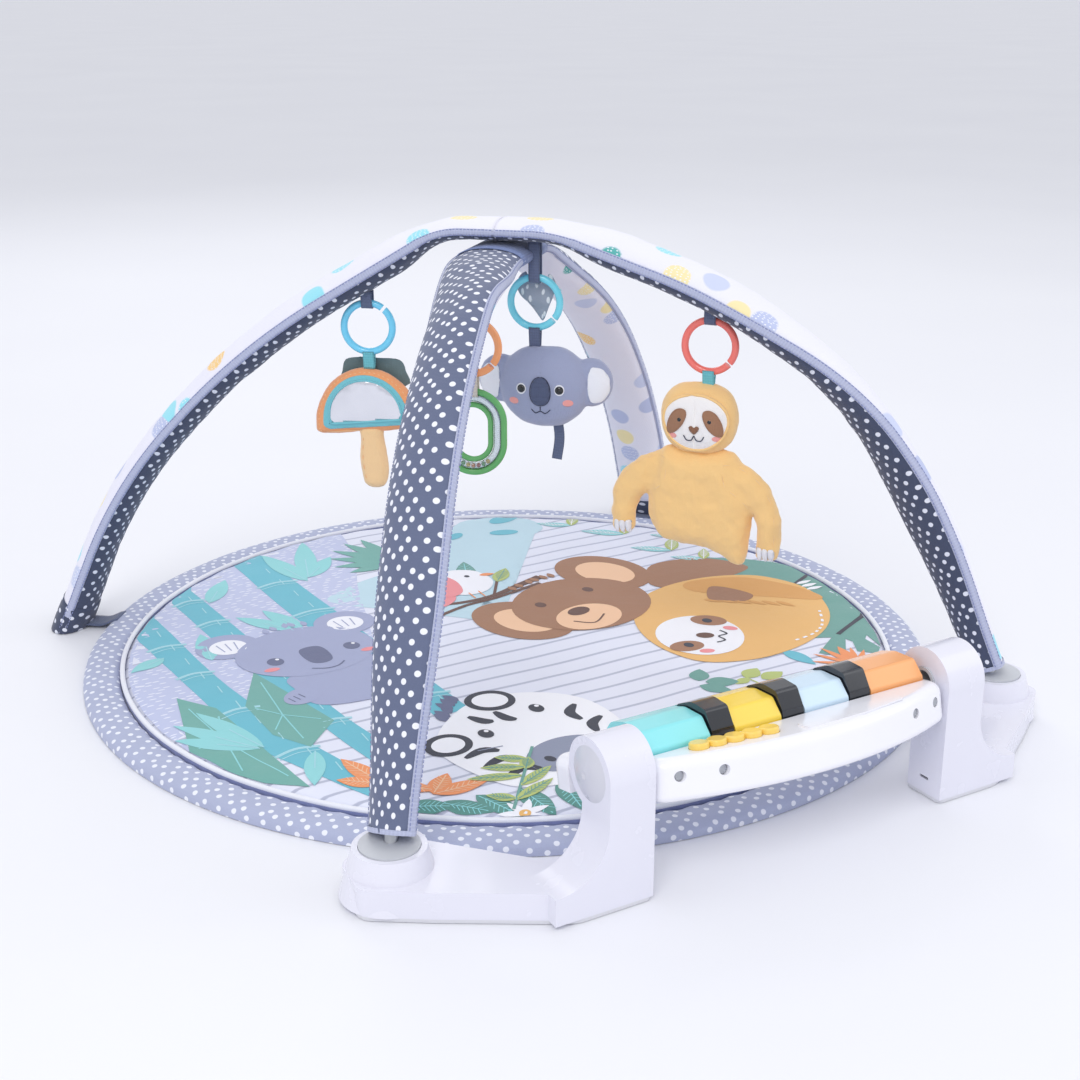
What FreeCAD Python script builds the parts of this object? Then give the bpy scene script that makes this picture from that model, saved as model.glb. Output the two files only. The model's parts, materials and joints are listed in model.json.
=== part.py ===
import FreeCAD, Part
import math
import os
from FreeCAD import Vector

# Activity play gym: a round padded mat under two crossed soft arches, with a tilting toy piano
# held between two plastic foot brackets at the front. All sizes are in millimetres.
# Own frame: +Z up, the floor is z = 0, +X runs along the piano and the piano is on the -Y side.
# The parts are drawn about the middle of the mat, and moved at the end so that the origin is the
# middle of the footprint.

# ---- mat ----
mat_radius = 430.0
panel_radius = 389.0
piping_width = 4.5
panel_thickness = 14.0
piping_height = 15.0
border_thickness = 12.0
strap_width = 26.0
strap_thickness = 2.0
strap_height = 3.0

# ---- arches ----
crossing = Vector(0, 5, 0)
upper_arch_height = 433.0
lower_arch_height = 409.0
front_foot = Vector(312, -374, 40)
rear_foot = Vector(369, 288, 20)
crossing_run = 60.0
rod_radius = 5.5
rod_bore = 4.0
bore_radius = 8.6
connector_radius = 8.0
connector_half = 30.0
rod_fit = 0.1
sleeve_half_width = 32.0
sleeve_half_depth = 17.0
crossing_half_depth = 10.5
crossing_flat = 60.0
swell_run = 60.0
hem_half_width = 21.0
hem_half_depth = 14.0
hem_taper_run = 190.0
hem_height = 52.0
rod_end_height = 20.0
foot_skin = 3.0
foot_cap_radius = 8.2
foot_cap_length = 24.0
band_half_length = 44.0
band_thickness = 1.2
route_end_depth = 20.0

# ---- leg profiles: distance out from the crossing and height, as control points ----
front_profile = [(222, 384), (345, 306), (428, 180)]
rear_profile = [(255, 316), (398, 168)]

# ---- foot brackets ----
bracket_inner_x = 146.0
upright_thickness = 40.0
pivot_y = -455.0
pivot_z = 104.0
head_radius = 29.0
upright_depth_back = 10.0
shell_wall = 2.6
base_plate_thickness = 3.0
arm_height = 26.0
socket_distance = 494.0
socket_rim_z = 43.0
socket_outer_radius = 29.0
socket_base_radius = 44.0
socket_bore_radius = 24.2
socket_floor_z = 13.0
ferrule_radius = 23.9
ferrule_top_z = 44.5
hub_radius = 12.0
hub_clearance = 0.15
dome_cap_radius = 22.0
dome_cap_height = 5.0
pad_radius = 9.0
pad_thickness = 1.2
pad_pocket = 0.6

# ---- piano, drawn flat about its pivot axis and then tilted ----
piano_tilt = 12.0
end_gap = 1.5
body_back = 58.0
body_front = -58.0
body_front_radius = 320.0
wing_reach = 186.0
deck_top = 4.0
parting = -14.0
body_bottom = -30.0
body_wall = 2.6
edge_rounding = 9.0
well_half = 137.5
well_front = -10.0
well_rim = -8.2
rear_wall = 4.0
body_end = bracket_inner_x - end_gap
wing_start = 32.0
wing_bottom = -22.0

bottom_rounding = 6.0
well_radius = 4.2
well_z = -9.5
strip_x = -70.0
strip_y = -24.0
strip_slope = -0.14
strip_pitch = 15.0
strip_radius = 8.0
strip_top = 8.5
door_half_x = 31.0
door_y0 = -32.0
door_y1 = 20.0
switch_x = 78.0
speaker_x = -92.0
board_top = -9.4
battery_z = -20.0
battery_rows = [-22.0, -6.5, 9.0]

# ---- keys ----
key_gap = 1.4
key_pitch = 2 * well_half / 4
key_skirt = -3.0
key_front = -8.0
key_back = 57.0
black_width = 21.0
black_back = 38.0
key_hollow = 2.4
key_names = ["aqua", "yellow", "blue", "orange"]

# ---- hanging toys ----
ring_radius = 24.4
ring_wire = 3.5
ring_gap = 3.0
loop_width = 11.0
loop_thickness = 1.3
loop_clearance = 0.9


def unit(v):
    out = Vector(v)
    out.normalize()
    return out


def box(x0, x1, y0, y1, z0, z1):
    return Part.makeBox(x1 - x0, y1 - y0, z1 - z0, Vector(x0, y0, z0))


def drum(radius, height, base, axis=Vector(0, 0, 1)):
    return Part.makeCylinder(radius, height, base, axis)


def joined(shapes):
    out = shapes[0].multiFuse(shapes[1:]) if len(shapes) > 1 else shapes[0]
    return out.removeSplitter()


def mirrored(shape):
    return shape.mirror(Vector(0, 0, 0), Vector(1, 0, 0))


def grouped(shapes):
    return Part.makeCompound(shapes)


# ---- outlines and routes with tangent corners ----
def corner_arc(before, corner, after, radius):
    """The arc that rounds one corner: its two tangent points and its middle point."""
    a = unit(before - corner)
    b = unit(after - corner)
    half = a.getAngle(b) / 2
    tangent = radius / math.tan(half)
    middle = corner + unit(a + b) * (radius / math.sin(half) - radius)
    return corner + a * tangent, middle, corner + b * tangent


def rounded_outline(points, radius):
    """Closed wire through the points, with every corner rounded."""
    points = [Vector(*p) for p in points]
    radii = radius if isinstance(radius, list) else [radius] * len(points)
    count = len(points)
    arcs = []
    for i in range(count):
        arcs.append(corner_arc(points[i - 1], points[i], points[(i + 1) % count], radii[i]))
    edges = []
    for i in range(count):
        start, middle, end = arcs[i]
        following = arcs[(i + 1) % count][0]
        edges.append(Part.Arc(start, middle, end).toShape())
        if (following - end).Length > 1e-4:
            edges.append(Part.LineSegment(end, following).toShape())
    return Part.Wire(edges)


def slab(points, radius, direction):
    return Part.Face(rounded_outline(points, radius)).extrude(direction)


def route(points):
    """Open path of straight runs joined by tangent arcs."""
    edges = []
    last = points[0]
    for i in range(1, len(points) - 1):
        before = (points[i - 1] - points[i]).Length
        after = (points[i + 1] - points[i]).Length
        half = (points[i - 1] - points[i]).getAngle(points[i + 1] - points[i]) / 2
        radius = 0.45 * min(before, after) * math.tan(half)
        start, middle, end = corner_arc(points[i - 1], points[i], points[i + 1], radius)
        edges.append(Part.LineSegment(last, start).toShape())
        edges.append(Part.Arc(start, middle, end).toShape())
        last = end
    edges.append(Part.LineSegment(last, points[-1]).toShape())
    return edges


def tube(edges, radius):
    start = edges[0].valueAt(edges[0].FirstParameter)
    heading = edges[0].tangentAt(edges[0].FirstParameter)
    circle = Part.Wire([Part.makeCircle(radius, start, heading)])
    return Part.Wire(edges).makePipeShell([circle], True, True)


def stations(edges, spacing):
    """Points and headings along a route, about one per spacing, as (distance, point, heading)."""
    out = []
    travelled = 0.0
    for edge in edges:
        pieces = max(1, round(edge.Length / spacing))
        span = edge.LastParameter - edge.FirstParameter
        for k in range(pieces):
            t = edge.FirstParameter + span * k / pieces
            out.append((travelled + edge.Length * k / pieces, edge.valueAt(t), edge.tangentAt(t)))
        travelled += edge.Length
    end = edges[-1].LastParameter
    out.append((travelled, edges[-1].valueAt(end), edges[-1].tangentAt(end)))
    return out


def eased(t):
    t = min(1.0, max(0.0, t))
    return t * t * (3 - 2 * t)


# ---- legs ----
def leg_heading(side, foot):
    return unit(Vector(foot.x * side, foot.y, 0) - crossing)


def leg_points(side, foot, profile, height, mean_heading, end_z):
    """Control points of one leg's centre line, from the crossing down to its end height."""
    out = leg_heading(side, foot)
    reach = math.hypot(foot.x - crossing.x, foot.y - crossing.y)
    lift = Vector(0, 0, 1)
    points = [crossing + lift * height, crossing + mean_heading * crossing_run + lift * height]
    for distance, level in profile:
        points.append(crossing + out * distance + lift * level)
    last_distance, last_level = profile[-1]
    slope = (last_level - foot.z) / (last_distance - reach)
    points.append(crossing + out * (reach + (end_z - foot.z) / slope) + lift * end_z)
    return points


def section(point, heading, half_width, half_depth):
    across = unit(heading.cross(Vector(0, 0, 1)))
    outward = unit(across.cross(heading))
    ellipse = Part.Ellipse(point + across * half_width, point + outward * half_depth, point)
    return Part.Wire([ellipse.toShape()])


def sleeve_depth(distance):
    grown = eased((distance - crossing_flat) / swell_run)
    return crossing_half_depth + (sleeve_half_depth - crossing_half_depth) * grown


def sleeve(edges, front):
    """Padded fabric sleeve round one leg, hollow for its rod."""
    places = stations(edges, 55.0)
    if front:
        places = [p for p in places if p[1].z > hem_height + 12]
        last = edges[-1]
        share = (last.valueAt(last.FirstParameter).z - hem_height)
        share = share / (last.valueAt(last.FirstParameter).z - last.valueAt(last.LastParameter).z)
        t = last.FirstParameter + (last.LastParameter - last.FirstParameter) * share
        before = sum(e.Length for e in edges[:-1])
        places.append((before + last.Length * share, last.valueAt(t), last.tangentAt(t)))
    total = places[-1][0]
    rings = []
    for distance, point, heading in places:
        half_width = sleeve_half_width
        half_depth = sleeve_depth(distance)
        if front:
            taper = eased((distance - total + hem_taper_run) / hem_taper_run)
            half_width += (hem_half_width - half_width) * taper
            half_depth += (hem_half_depth - half_depth) * taper
        rings.append(section(point, heading, half_width, half_depth))
    body = Part.makeLoft(rings, True, True)
    hollow = tube(edges, bore_radius)
    if not front:
        above_floor = box(-900, 900, -900, 900, 0, 900)
        above_skin = box(-900, 900, -900, 900, foot_skin, 900)
        body = body.common(above_floor)
        hollow = hollow.common(above_skin)
    return body.cut(hollow)


def rod(edges, end_z):
    keep = box(-900, 900, -900, 900, end_z, 900)
    return tube(edges, rod_radius).cut(tube(edges, rod_bore)).common(keep)


def connector(height, heading):
    start = crossing + Vector(0, 0, height) - heading * connector_half
    outer = drum(connector_radius, 2 * connector_half, start, heading)
    return outer.cut(drum(rod_radius + rod_fit, 2 * connector_half, start, heading))


def foot_cap(edges):
    """Round cap on the floor end of a rear rod."""
    last = edges[-1]
    heading = last.tangentAt(last.LastParameter)
    low = last.valueAt(last.LastParameter)
    point = low - heading * ((foot_skin + 3.5 - low.z) / -heading.z)
    start = point - heading * foot_cap_length
    shape = drum(foot_cap_radius, foot_cap_length + 20, start, heading)
    shape = shape.cut(drum(rod_radius + rod_fit, foot_cap_length + 3, start - heading, heading))
    shape = shape.common(box(-900, 900, -900, 900, foot_skin + 0.4, 900))
    return shape.cut(tube(edges, rod_radius + rod_fit).common(box(-900, 900, -900, 900, 8, 900)))


def leg_route(side, front, height, mean_heading):
    if front:
        return route(leg_points(side, front_foot, front_profile, height, mean_heading, rod_end_height))
    return route(leg_points(side, rear_foot, rear_profile, height, mean_heading, -route_end_depth))


upper_heading = unit(leg_heading(1, front_foot) - leg_heading(-1, rear_foot))
lower_heading = unit(leg_heading(-1, front_foot) - leg_heading(1, rear_foot))
legs = {
    "front_right": leg_route(1, True, upper_arch_height, upper_heading),
    "rear_left": leg_route(-1, False, upper_arch_height, -upper_heading),
    "front_left": leg_route(-1, True, lower_arch_height, lower_heading),
    "rear_right": leg_route(1, False, lower_arch_height, -lower_heading),
}
socket_center = crossing + leg_heading(1, front_foot) * socket_distance

base_lift = pad_thickness - pad_pocket
plate_top = base_lift + base_plate_thickness

nodes = {}


# ---- mat ----
def ring_band(inner, outer, height):
    return drum(outer, height, Vector()).cut(drum(inner, height, Vector()))


nodes["mat_panel"] = drum(panel_radius, panel_thickness, Vector())
nodes["mat_piping"] = ring_band(panel_radius, panel_radius + piping_width, piping_height)
nodes["mat_border"] = ring_band(panel_radius + piping_width, mat_radius, border_thickness)


def mat_strap(name, side):
    """Webbing tab from the mat's edge to the foot of a rear leg, trimmed where the two begin."""
    out = leg_heading(side, rear_foot)
    reach = math.hypot(rear_foot.x - crossing.x, rear_foot.y - crossing.y)
    tab = box(reach - 75, reach - 5, -strap_width / 2, strap_width / 2, strap_height,
              strap_height + strap_thickness)
    tab.rotate(Vector(), Vector(0, 0, 1), math.degrees(math.atan2(out.y, out.x)))
    tab.translate(crossing)
    tab = tab.cut(drum(mat_radius, panel_thickness, Vector()))
    tab = tab.cut(nodes["sleeve_" + name])
    return max(tab.Solids, key=lambda solid: solid.Volume)


# ---- arches ----
for name, edges in legs.items():
    is_front = name.startswith("front")
    nodes["sleeve_" + name] = sleeve(edges, is_front)
    nodes["rod_" + name] = rod(edges, rod_end_height if is_front else foot_skin + 3.5)
nodes["rod_connectors"] = grouped([
    connector(upper_arch_height, upper_heading),
    connector(lower_arch_height, lower_heading),
])
nodes["rod_foot_caps"] = grouped([foot_cap(legs[name]).cut(nodes["rod_" + name])
                                  for name in ("rear_left", "rear_right")])
nodes["mat_straps"] = grouped([mat_strap("rear_left", -1), mat_strap("rear_right", 1)])


def crossing_band():
    """Plain fabric band sewn round the lower arch where the upper one lies on it."""
    start = crossing + Vector(0, 0, lower_arch_height) - lower_heading * band_half_length
    length = lower_heading * (2 * band_half_length)
    inner = section(start, lower_heading, sleeve_half_width + 0.3, crossing_half_depth + 0.3)
    outer = section(start, lower_heading, sleeve_half_width + 0.3 + band_thickness,
                    crossing_half_depth + 0.3 + band_thickness)
    return Part.Face(outer).extrude(length).cut(Part.Face(inner).extrude(length))


band = crossing_band()
for name in ("front_left", "rear_right"):
    band = band.cut(nodes["sleeve_" + name])
nodes["crossing_band"] = max(band.Solids, key=lambda solid: solid.Volume)


# ---- foot brackets (right-hand one; the left is its mirror image) ----
def ferrule():
    """Round grey plug on the leg's end, with a slanting bore for the rod."""
    low = socket_center + Vector(0, 0, socket_floor_z)
    plug = drum(ferrule_radius, ferrule_top_z - socket_floor_z, low)
    return plug.cut(tube(legs["front_right"], rod_radius + rod_fit))


right_ferrule = ferrule()
nodes["leg_ferrules"] = grouped([right_ferrule, mirrored(right_ferrule)])


def upright_profile(margin):
    """Side profile of the upright: a round head on a column, drawn in the YZ plane."""
    radius = head_radius - margin
    head = drum(radius, upright_thickness - 2 * margin, Vector(bracket_inner_x + margin, pivot_y, pivot_z),
                Vector(1, 0, 0))
    column = box(bracket_inner_x + margin, bracket_inner_x + upright_thickness - margin,
                 pivot_y - radius, pivot_y + upright_depth_back - margin, 0, pivot_z)
    return head.fuse(column)


def arm_outline(margin):
    """Floor outline of the foot, from the upright out and back to the socket."""
    inner = bracket_inner_x + margin
    front = pivot_y - head_radius + margin
    tip_x = socket_center.x + socket_base_radius - 8 - margin
    return [
        (inner, front, 0),
        (socket_center.x - 100, front, 0),
        (socket_center.x - 12, socket_center.y - socket_base_radius - 10 + margin, 0),
        (tip_x, socket_center.y - 22, 0),
        (tip_x - 4, socket_center.y + 26 - margin, 0),
        (socket_center.x - 30, socket_center.y + 30 - margin, 0),
        (bracket_inner_x + upright_thickness + 26, pivot_y + upright_depth_back + 18 - margin, 0),
        (inner, pivot_y + upright_depth_back - margin, 0),
    ]


def arm_body(margin):
    """The low arm: wide on the floor, drawn in towards its top, and humped up to the upright and socket."""
    radii = [6.0, 30.0, 34.0, 14.0, 16.0, 24.0, 20.0, 4.0]
    wire = rounded_outline(arm_outline(margin), [max(1.5, r - margin) for r in radii])
    base = Part.Face(wire).extrude(Vector(0, 0, arm_height - margin))
    return base


def arm_rise(margin):
    """Quarter-round sweep that joins the arm's top to the outer side of the upright."""
    rise = 46.0
    x0 = bracket_inner_x + margin + 4
    x1 = bracket_inner_x + upright_thickness - margin
    fillet = box(x0, x1 + rise, pivot_y - head_radius + margin, pivot_y + upright_depth_back - margin,
                 0, arm_height + rise)
    start = Vector(x1 + rise + margin, pivot_y - 200, arm_height + rise)
    hollow = drum(rise + margin, 400, start, Vector(0, 1, 0))
    return fillet.cut(hollow)


def socket_cone(margin):
    low = socket_base_radius - margin
    high = socket_outer_radius - margin
    return Part.makeCone(low - 3, high, socket_rim_z - margin, socket_center)


def bracket_shell():
    outer = joined([upright_profile(0), arm_body(0), arm_rise(0), socket_cone(0)])
    foot_limit = box(0, 600, -900, 0, 0, 400)
    outer = outer.common(foot_limit)
    hollow_top = socket_floor_z - shell_wall
    inner = arm_body(shell_wall).fuse(upright_profile(shell_wall))
    socket_wall = drum(socket_bore_radius + shell_wall, 100, socket_center + Vector(0, 0, 0))
    inner = inner.cut(socket_wall).fuse(drum(socket_bore_radius - 1, hollow_top, socket_center))
    shell = outer.cut(inner)
    shell = shell.cut(drum(socket_bore_radius, 100, socket_center + Vector(0, 0, socket_floor_z)))
    shell = shell.cut(box(0, 600, -900, 0, -1, plate_top))
    start = Vector(bracket_inner_x - 1, pivot_y, pivot_z)
    bore = drum(hub_radius + hub_clearance, 100, start, Vector(1, 0, 0))
    slot = box(bracket_inner_x - 1, bracket_inner_x + shell_wall + 1, pivot_y - 14, pivot_y - 4, 16, 18.5)
    return shell.cut(bore).cut(slot)


def base_plate():
    plate = Part.Face(rounded_outline(arm_outline(0), [6.0, 30.0, 34.0, 14.0, 16.0, 24.0, 20.0, 4.0]))
    plate = plate.extrude(Vector(0, 0, base_plate_thickness))
    plate.translate(Vector(0, 0, base_lift))
    for x, y in screw_places:
        plate = plate.cut(drum(3.4, 1.6, Vector(x, y, base_lift)))
        plate = plate.cut(drum(1.6, 10, Vector(x, y, base_lift)))
    for x, y in pad_places:
        plate = plate.cut(drum(pad_radius, pad_thickness, Vector(x, y, 0)))
    return plate


screw_places = [
    (bracket_inner_x + 20, pivot_y - 12),
    (socket_center.x - 78, socket_center.y - 50),
    (socket_center.x + 22, socket_center.y + 12),
]


def base_screw(x, y):
    base = Vector(x, y, base_lift + 0.1)
    return drum(3.2, 1.5, base).fuse(drum(1.5, base_plate_thickness - 0.1, base))


def foot_pad(x, y):
    return drum(pad_radius, pad_thickness, Vector(x, y, 0))


pad_places = [
    (bracket_inner_x + 16, pivot_y + 6),
    (socket_center.x - 62, socket_center.y - 30),
    (socket_center.x + 14, socket_center.y - 22),
]


def hub_cap():
    """Domed round cap with a dimple, on the outer side of the head."""
    x = bracket_inner_x + upright_thickness
    sphere_radius = (dome_cap_radius ** 2 + dome_cap_height ** 2) / (2 * dome_cap_height)
    dome = Part.makeSphere(sphere_radius, Vector(x + dome_cap_height - sphere_radius, pivot_y, pivot_z))
    start = Vector(x, pivot_y, pivot_z)
    dome = dome.common(drum(dome_cap_radius, dome_cap_height + 1, start, Vector(1, 0, 0)))
    dimple = Part.makeSphere(4.0, Vector(x + dome_cap_height + 2.4, pivot_y, pivot_z))
    return dome.cut(dimple)


right_bracket = bracket_shell()
right_plate = base_plate()
right_cap = hub_cap()
right_screws = [base_screw(x, y) for x, y in screw_places]
right_pads = [foot_pad(x, y) for x, y in pad_places]
nodes["bracket_right"] = right_bracket
nodes["bracket_left"] = mirrored(right_bracket)
nodes["bracket_base_plates"] = grouped([right_plate, mirrored(right_plate)])
nodes["hub_caps"] = grouped([right_cap, mirrored(right_cap)])
nodes["bracket_screws"] = grouped(right_screws + [mirrored(s) for s in right_screws])
nodes["foot_pads"] = grouped(right_pads + [mirrored(s) for s in right_pads])


# ---- piano, in its own flat frame: pivot axis at y = 0, z = 0, front towards -y ----
def placed(shape):
    """Tilt a piano part about the pivot axis and move it to its place between the brackets."""
    out = shape.copy()
    out.rotate(Vector(), Vector(1, 0, 0), -piano_tilt)
    out.translate(Vector(0, pivot_y, pivot_z))
    return out


def body_plan(margin, low, high):
    """Prism with the casing's plan: a bowed front, a straight back and a wing behind each bracket."""
    middle = box(-body_end + margin, body_end - margin, body_front - 5, body_back - margin, low, high)
    bow_center = Vector(0, body_front + body_front_radius, low)
    middle = middle.common(drum(body_front_radius - margin, high - low, bow_center))
    wings = box(-wing_reach + margin, wing_reach - margin, wing_start + margin, body_back - margin,
                max(low, wing_bottom + margin), high)
    return joined([middle, wings])


def edges_where(shape, test):
    return [edge for edge in shape.Edges if test(edge)]


def is_upright(edge):
    ends = [vertex.Point for vertex in edge.Vertexes]
    return len(ends) == 2 and (ends[0] - ends[1]).cross(Vector(0, 0, 1)).Length < 1e-3


def lies_at(edge, level):
    box_of = edge.BoundBox
    return abs(box_of.ZMin - level) < 1e-3 and abs(box_of.ZMax - level) < 1e-3


def casing(margin, low, high, level, rounding):
    """The casing's plan as a solid, its upright corners rounded and its rim at level rounded too."""
    shape = body_plan(margin, low, high)
    front = edges_where(shape, lambda e: is_upright(e) and abs(e.BoundBox.XMin) > 100
                        and e.BoundBox.YMin < 0)
    shape = shape.makeFillet(16.0 - margin, front)
    wings = edges_where(shape, lambda e: is_upright(e) and abs(e.BoundBox.XMin) > 170
                        and e.BoundBox.YMin > 50)
    shape = shape.makeFillet(11.0 - margin, wings)
    return shape.makeFillet(rounding, edges_where(shape, lambda e: lies_at(e, level)))


def front_y(x):
    """The casing's front edge at x."""
    return body_front + x * x / (2 * body_front_radius)


screw_x = [-127.0, -95.0, 95.0, 127.0]


def front_well(x, radius, start, length):
    return drum(radius, length, Vector(x, front_y(x) + start, well_z), Vector(0, 1, 0))


def screw_bosses():
    return [front_well(x, well_radius + 2.2, 1.5, 13.0) for x in screw_x]


def screw_holes():
    holes = [front_well(x, well_radius, -6.0, 12.0) for x in screw_x]
    return holes + [front_well(x, 1.6, 0, 13.0) for x in screw_x]


def key_well():
    opening = box(-well_half, well_half, well_front, body_back - rear_wall, -60, 60)
    return opening.fuse(box(-well_half, well_half, 30, 80, well_rim, 60))


def scallop(radius, low, high):
    """Five overlapping rounds along the casing's bow, as one flat outline solid."""
    rounds = []
    for k in range(5):
        x = strip_x + (k - 2) * strip_pitch
        y = strip_y + (x - strip_x) * strip_slope
        rounds.append(drum(radius, high - low, Vector(x, y, low)))
    return joined(rounds)


def top_shell():
    roof = deck_top - body_wall
    inner = casing(body_wall, parting, roof, roof, edge_rounding - body_wall)
    shape = casing(0, parting, deck_top, deck_top, edge_rounding).cut(inner)
    bosses = [boss.common(inner) for boss in screw_bosses()]
    plate = Part.Face(rounded_outline([(-15, -29, deck_top), (88, -27, deck_top), (86, -41, deck_top),
                                       (40, -48, deck_top), (-15, -49, deck_top)], 5.0))
    ridge = plate.extrude(Vector(0, 0, 1.4))
    shape = joined([shape] + bosses + [ridge])
    shape = shape.cut(key_well())
    shape = shape.cut(Part.makeCompound(screw_holes()))
    return shape.cut(scallop(strip_radius + 0.4, deck_top - 6.0, deck_top + 6.0))


def bottom_shell():
    floor = body_bottom + body_wall
    inner = casing(body_wall, floor, parting, floor, bottom_rounding - body_wall)
    shape = casing(0, body_bottom, parting, body_bottom, bottom_rounding).cut(inner)
    bosses = [boss.common(inner) for boss in screw_bosses()]
    posts = [drum(3.0, board_top - 1.6 - floor, Vector(x, y, floor)) for x in (-122, 122) for y in (22, 38)]
    shape = joined([shape] + bosses + posts)
    shape = shape.cut(Part.makeCompound(screw_holes()))
    shape = shape.cut(box(-door_half_x - 0.3, door_half_x + 0.3, door_y0 - 0.3, door_y1 + 0.3,
                          body_bottom - 1, body_bottom + body_wall + 1))
    shape = shape.cut(box(switch_x - 6.5, switch_x + 6.5, -3.2, 3.2, body_bottom - 1, body_bottom + 4))
    holes = []
    for ring in (0, 1, 2):
        count = max(1, 6 * ring)
        for k in range(count):
            turn = 2 * math.pi * k / count
            reach = 5.5 * ring
            place = Vector(speaker_x + reach * math.cos(turn), reach * math.sin(turn), body_bottom - 1)
            holes.append(drum(1.4, 5, place))
    return shape.cut(Part.makeCompound(holes))


def side_profile(points, radii, x0, x1):
    """Solid with the given (y, z) side profile, from x0 to x1."""
    wire = rounded_outline([(x0, y, z) for y, z in points], radii)
    return Part.Face(wire).extrude(Vector(x1 - x0, 0, 0))


def key_blank(x0, x1, inset):
    profile = [(key_front + inset, key_skirt), (key_front + inset, 7.0),
               (key_front + 9 + inset, 20.5 - inset), (24.0, 24.0 - inset), (44.0, 21.0 - inset),
               (key_back - inset, 8.0), (key_back - inset, key_skirt)]
    radii = [0.6, 4.0, 5.0, 20.0, 14.0, 9.0, 0.6]
    return side_profile(profile, radii, x0 + inset, x1 - inset)


def black_slots(extra):
    slots = []
    for k in (-1, 0, 1):
        middle = k * key_pitch
        slots.append(box(middle - black_width / 2 - extra, middle + black_width / 2 + extra,
                         key_front - 10, black_back + extra, -20, 60))
    return slots


def colour_key(index):
    x0 = -well_half + index * key_pitch + key_gap / 2
    x1 = x0 + key_pitch - key_gap
    shape = key_blank(x0, x1, 0).cut(Part.makeCompound(black_slots(key_gap)))
    inner = key_blank(x0, x1, key_hollow).cut(Part.makeCompound(black_slots(key_gap + key_hollow)))
    inner = inner.fuse(inner.translated(Vector(0, 0, -4)))
    return shape.cut(inner)


def black_key(index):
    x0 = (index - 1) * key_pitch - black_width / 2
    x1 = x0 + black_width
    profile = [(key_front, key_skirt), (key_front, 10.0), (key_front + 6, 25.0), (16.0, 29.0),
               (black_back, 23.0), (black_back, key_skirt)]
    radii = [0.6, 4.0, 4.0, 16.0, 6.0, 0.6]
    shape = side_profile(profile, radii, x0, x1)
    inner = side_profile([(y + (key_hollow if y < 16 else -key_hollow if y > 16 else 0), z - key_hollow)
                          for y, z in profile], radii, x0 + key_hollow, x1 - key_hollow)
    inner = inner.fuse(inner.translated(Vector(0, 0, -4)))
    return shape.cut(inner)


def contact_strip():
    strip = box(-130, 130, 20, 34, board_top, board_top + 1.6)
    domes = []
    for k in range(7):
        x = -well_half * 0.75 + k * well_half * 0.25
        domes.append(Part.makeCone(5.0, 3.2, 1.8, Vector(x, 27, board_top + 1.6)))
    return joined([strip] + domes)


def circuit_board():
    board = box(-132, 132, 16, 44, board_top - 1.6, board_top)
    chip = box(-60, -48, 36, 43, board_top, board_top + 1.5)
    return board.fuse(chip)


def speaker():
    basket = Part.makeCone(19.0, 12.0, 7.0, Vector(speaker_x, 0, body_bottom + body_wall + 0.2))
    magnet = drum(8.0, 4.5, Vector(speaker_x, 0, body_bottom + body_wall + 7.2))
    return basket.fuse(magnet)


def battery(y):
    x0 = -25.0
    can = drum(7.1, 49.0, Vector(x0, y, battery_z), Vector(1, 0, 0))
    return can.fuse(drum(2.7, 1.4, Vector(x0 + 49.0, y, battery_z), Vector(1, 0, 0)))


def battery_door():
    door = box(-door_half_x, door_half_x, door_y0, door_y1, body_bottom, body_bottom + body_wall)
    return door.cut(drum(1.7, 10, Vector(door_half_x - 5, (door_y0 + door_y1) / 2, body_bottom - 1)))


def door_screw():
    place = Vector(door_half_x - 5, (door_y0 + door_y1) / 2, body_bottom)
    return drum(1.5, 6.0, place)


def piano_screw(x):
    head = front_well(x, well_radius - 0.6, 3.0, 2.9)
    return head.fuse(front_well(x, 1.5, 5.0, 7.5))


def power_switch():
    knob = box(switch_x - 6.0, switch_x - 1.0, -2.8, 2.8, body_bottom - 1.6, body_bottom + 3.4)
    floor = body_bottom + body_wall
    plate = box(switch_x - 10.0, switch_x + 5.0, -4.6, 4.6, floor + 0.3, floor + 1.6)
    return knob.fuse(plate)


def strip_button():
    underside = deck_top - body_wall
    cap = scallop(strip_radius, underside - 1.0, strip_top)
    cap = cap.makeFillet(1.6, edges_where(cap, lambda e: lies_at(e, strip_top)))
    flange = scallop(strip_radius + 1.6, underside - 2.4, underside - 0.2)
    return joined([cap, flange])


def pivot_hub(side):
    start = body_end if side > 0 else -body_end - upright_thickness
    shape = drum(hub_radius, upright_thickness, Vector(start, 0, 0), Vector(1, 0, 0))
    inside = drum(hub_radius - 3.0, upright_thickness + 2, Vector(start - 1, 0, 0), Vector(1, 0, 0))
    return shape.cut(inside)


nodes["piano_top_shell"] = placed(top_shell())
nodes["piano_bottom_shell"] = placed(bottom_shell())
for index, colour in enumerate(key_names):
    nodes["key_" + colour] = placed(colour_key(index))
for index in range(3):
    nodes["key_black_" + str(index + 1)] = placed(black_key(index))
nodes["strip_button"] = placed(strip_button())
nodes["contact_strip"] = placed(contact_strip())
nodes["circuit_board"] = placed(circuit_board())
nodes["speaker"] = placed(speaker())
nodes["batteries"] = placed(grouped([battery(y) for y in battery_rows]))
nodes["battery_door"] = placed(battery_door())
nodes["power_switch"] = placed(power_switch())
nodes["piano_screws"] = placed(grouped([piano_screw(x) for x in screw_x] + [door_screw()]))
nodes["pivot_hubs"] = placed(grouped([pivot_hub(1), pivot_hub(-1)]))


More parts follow.
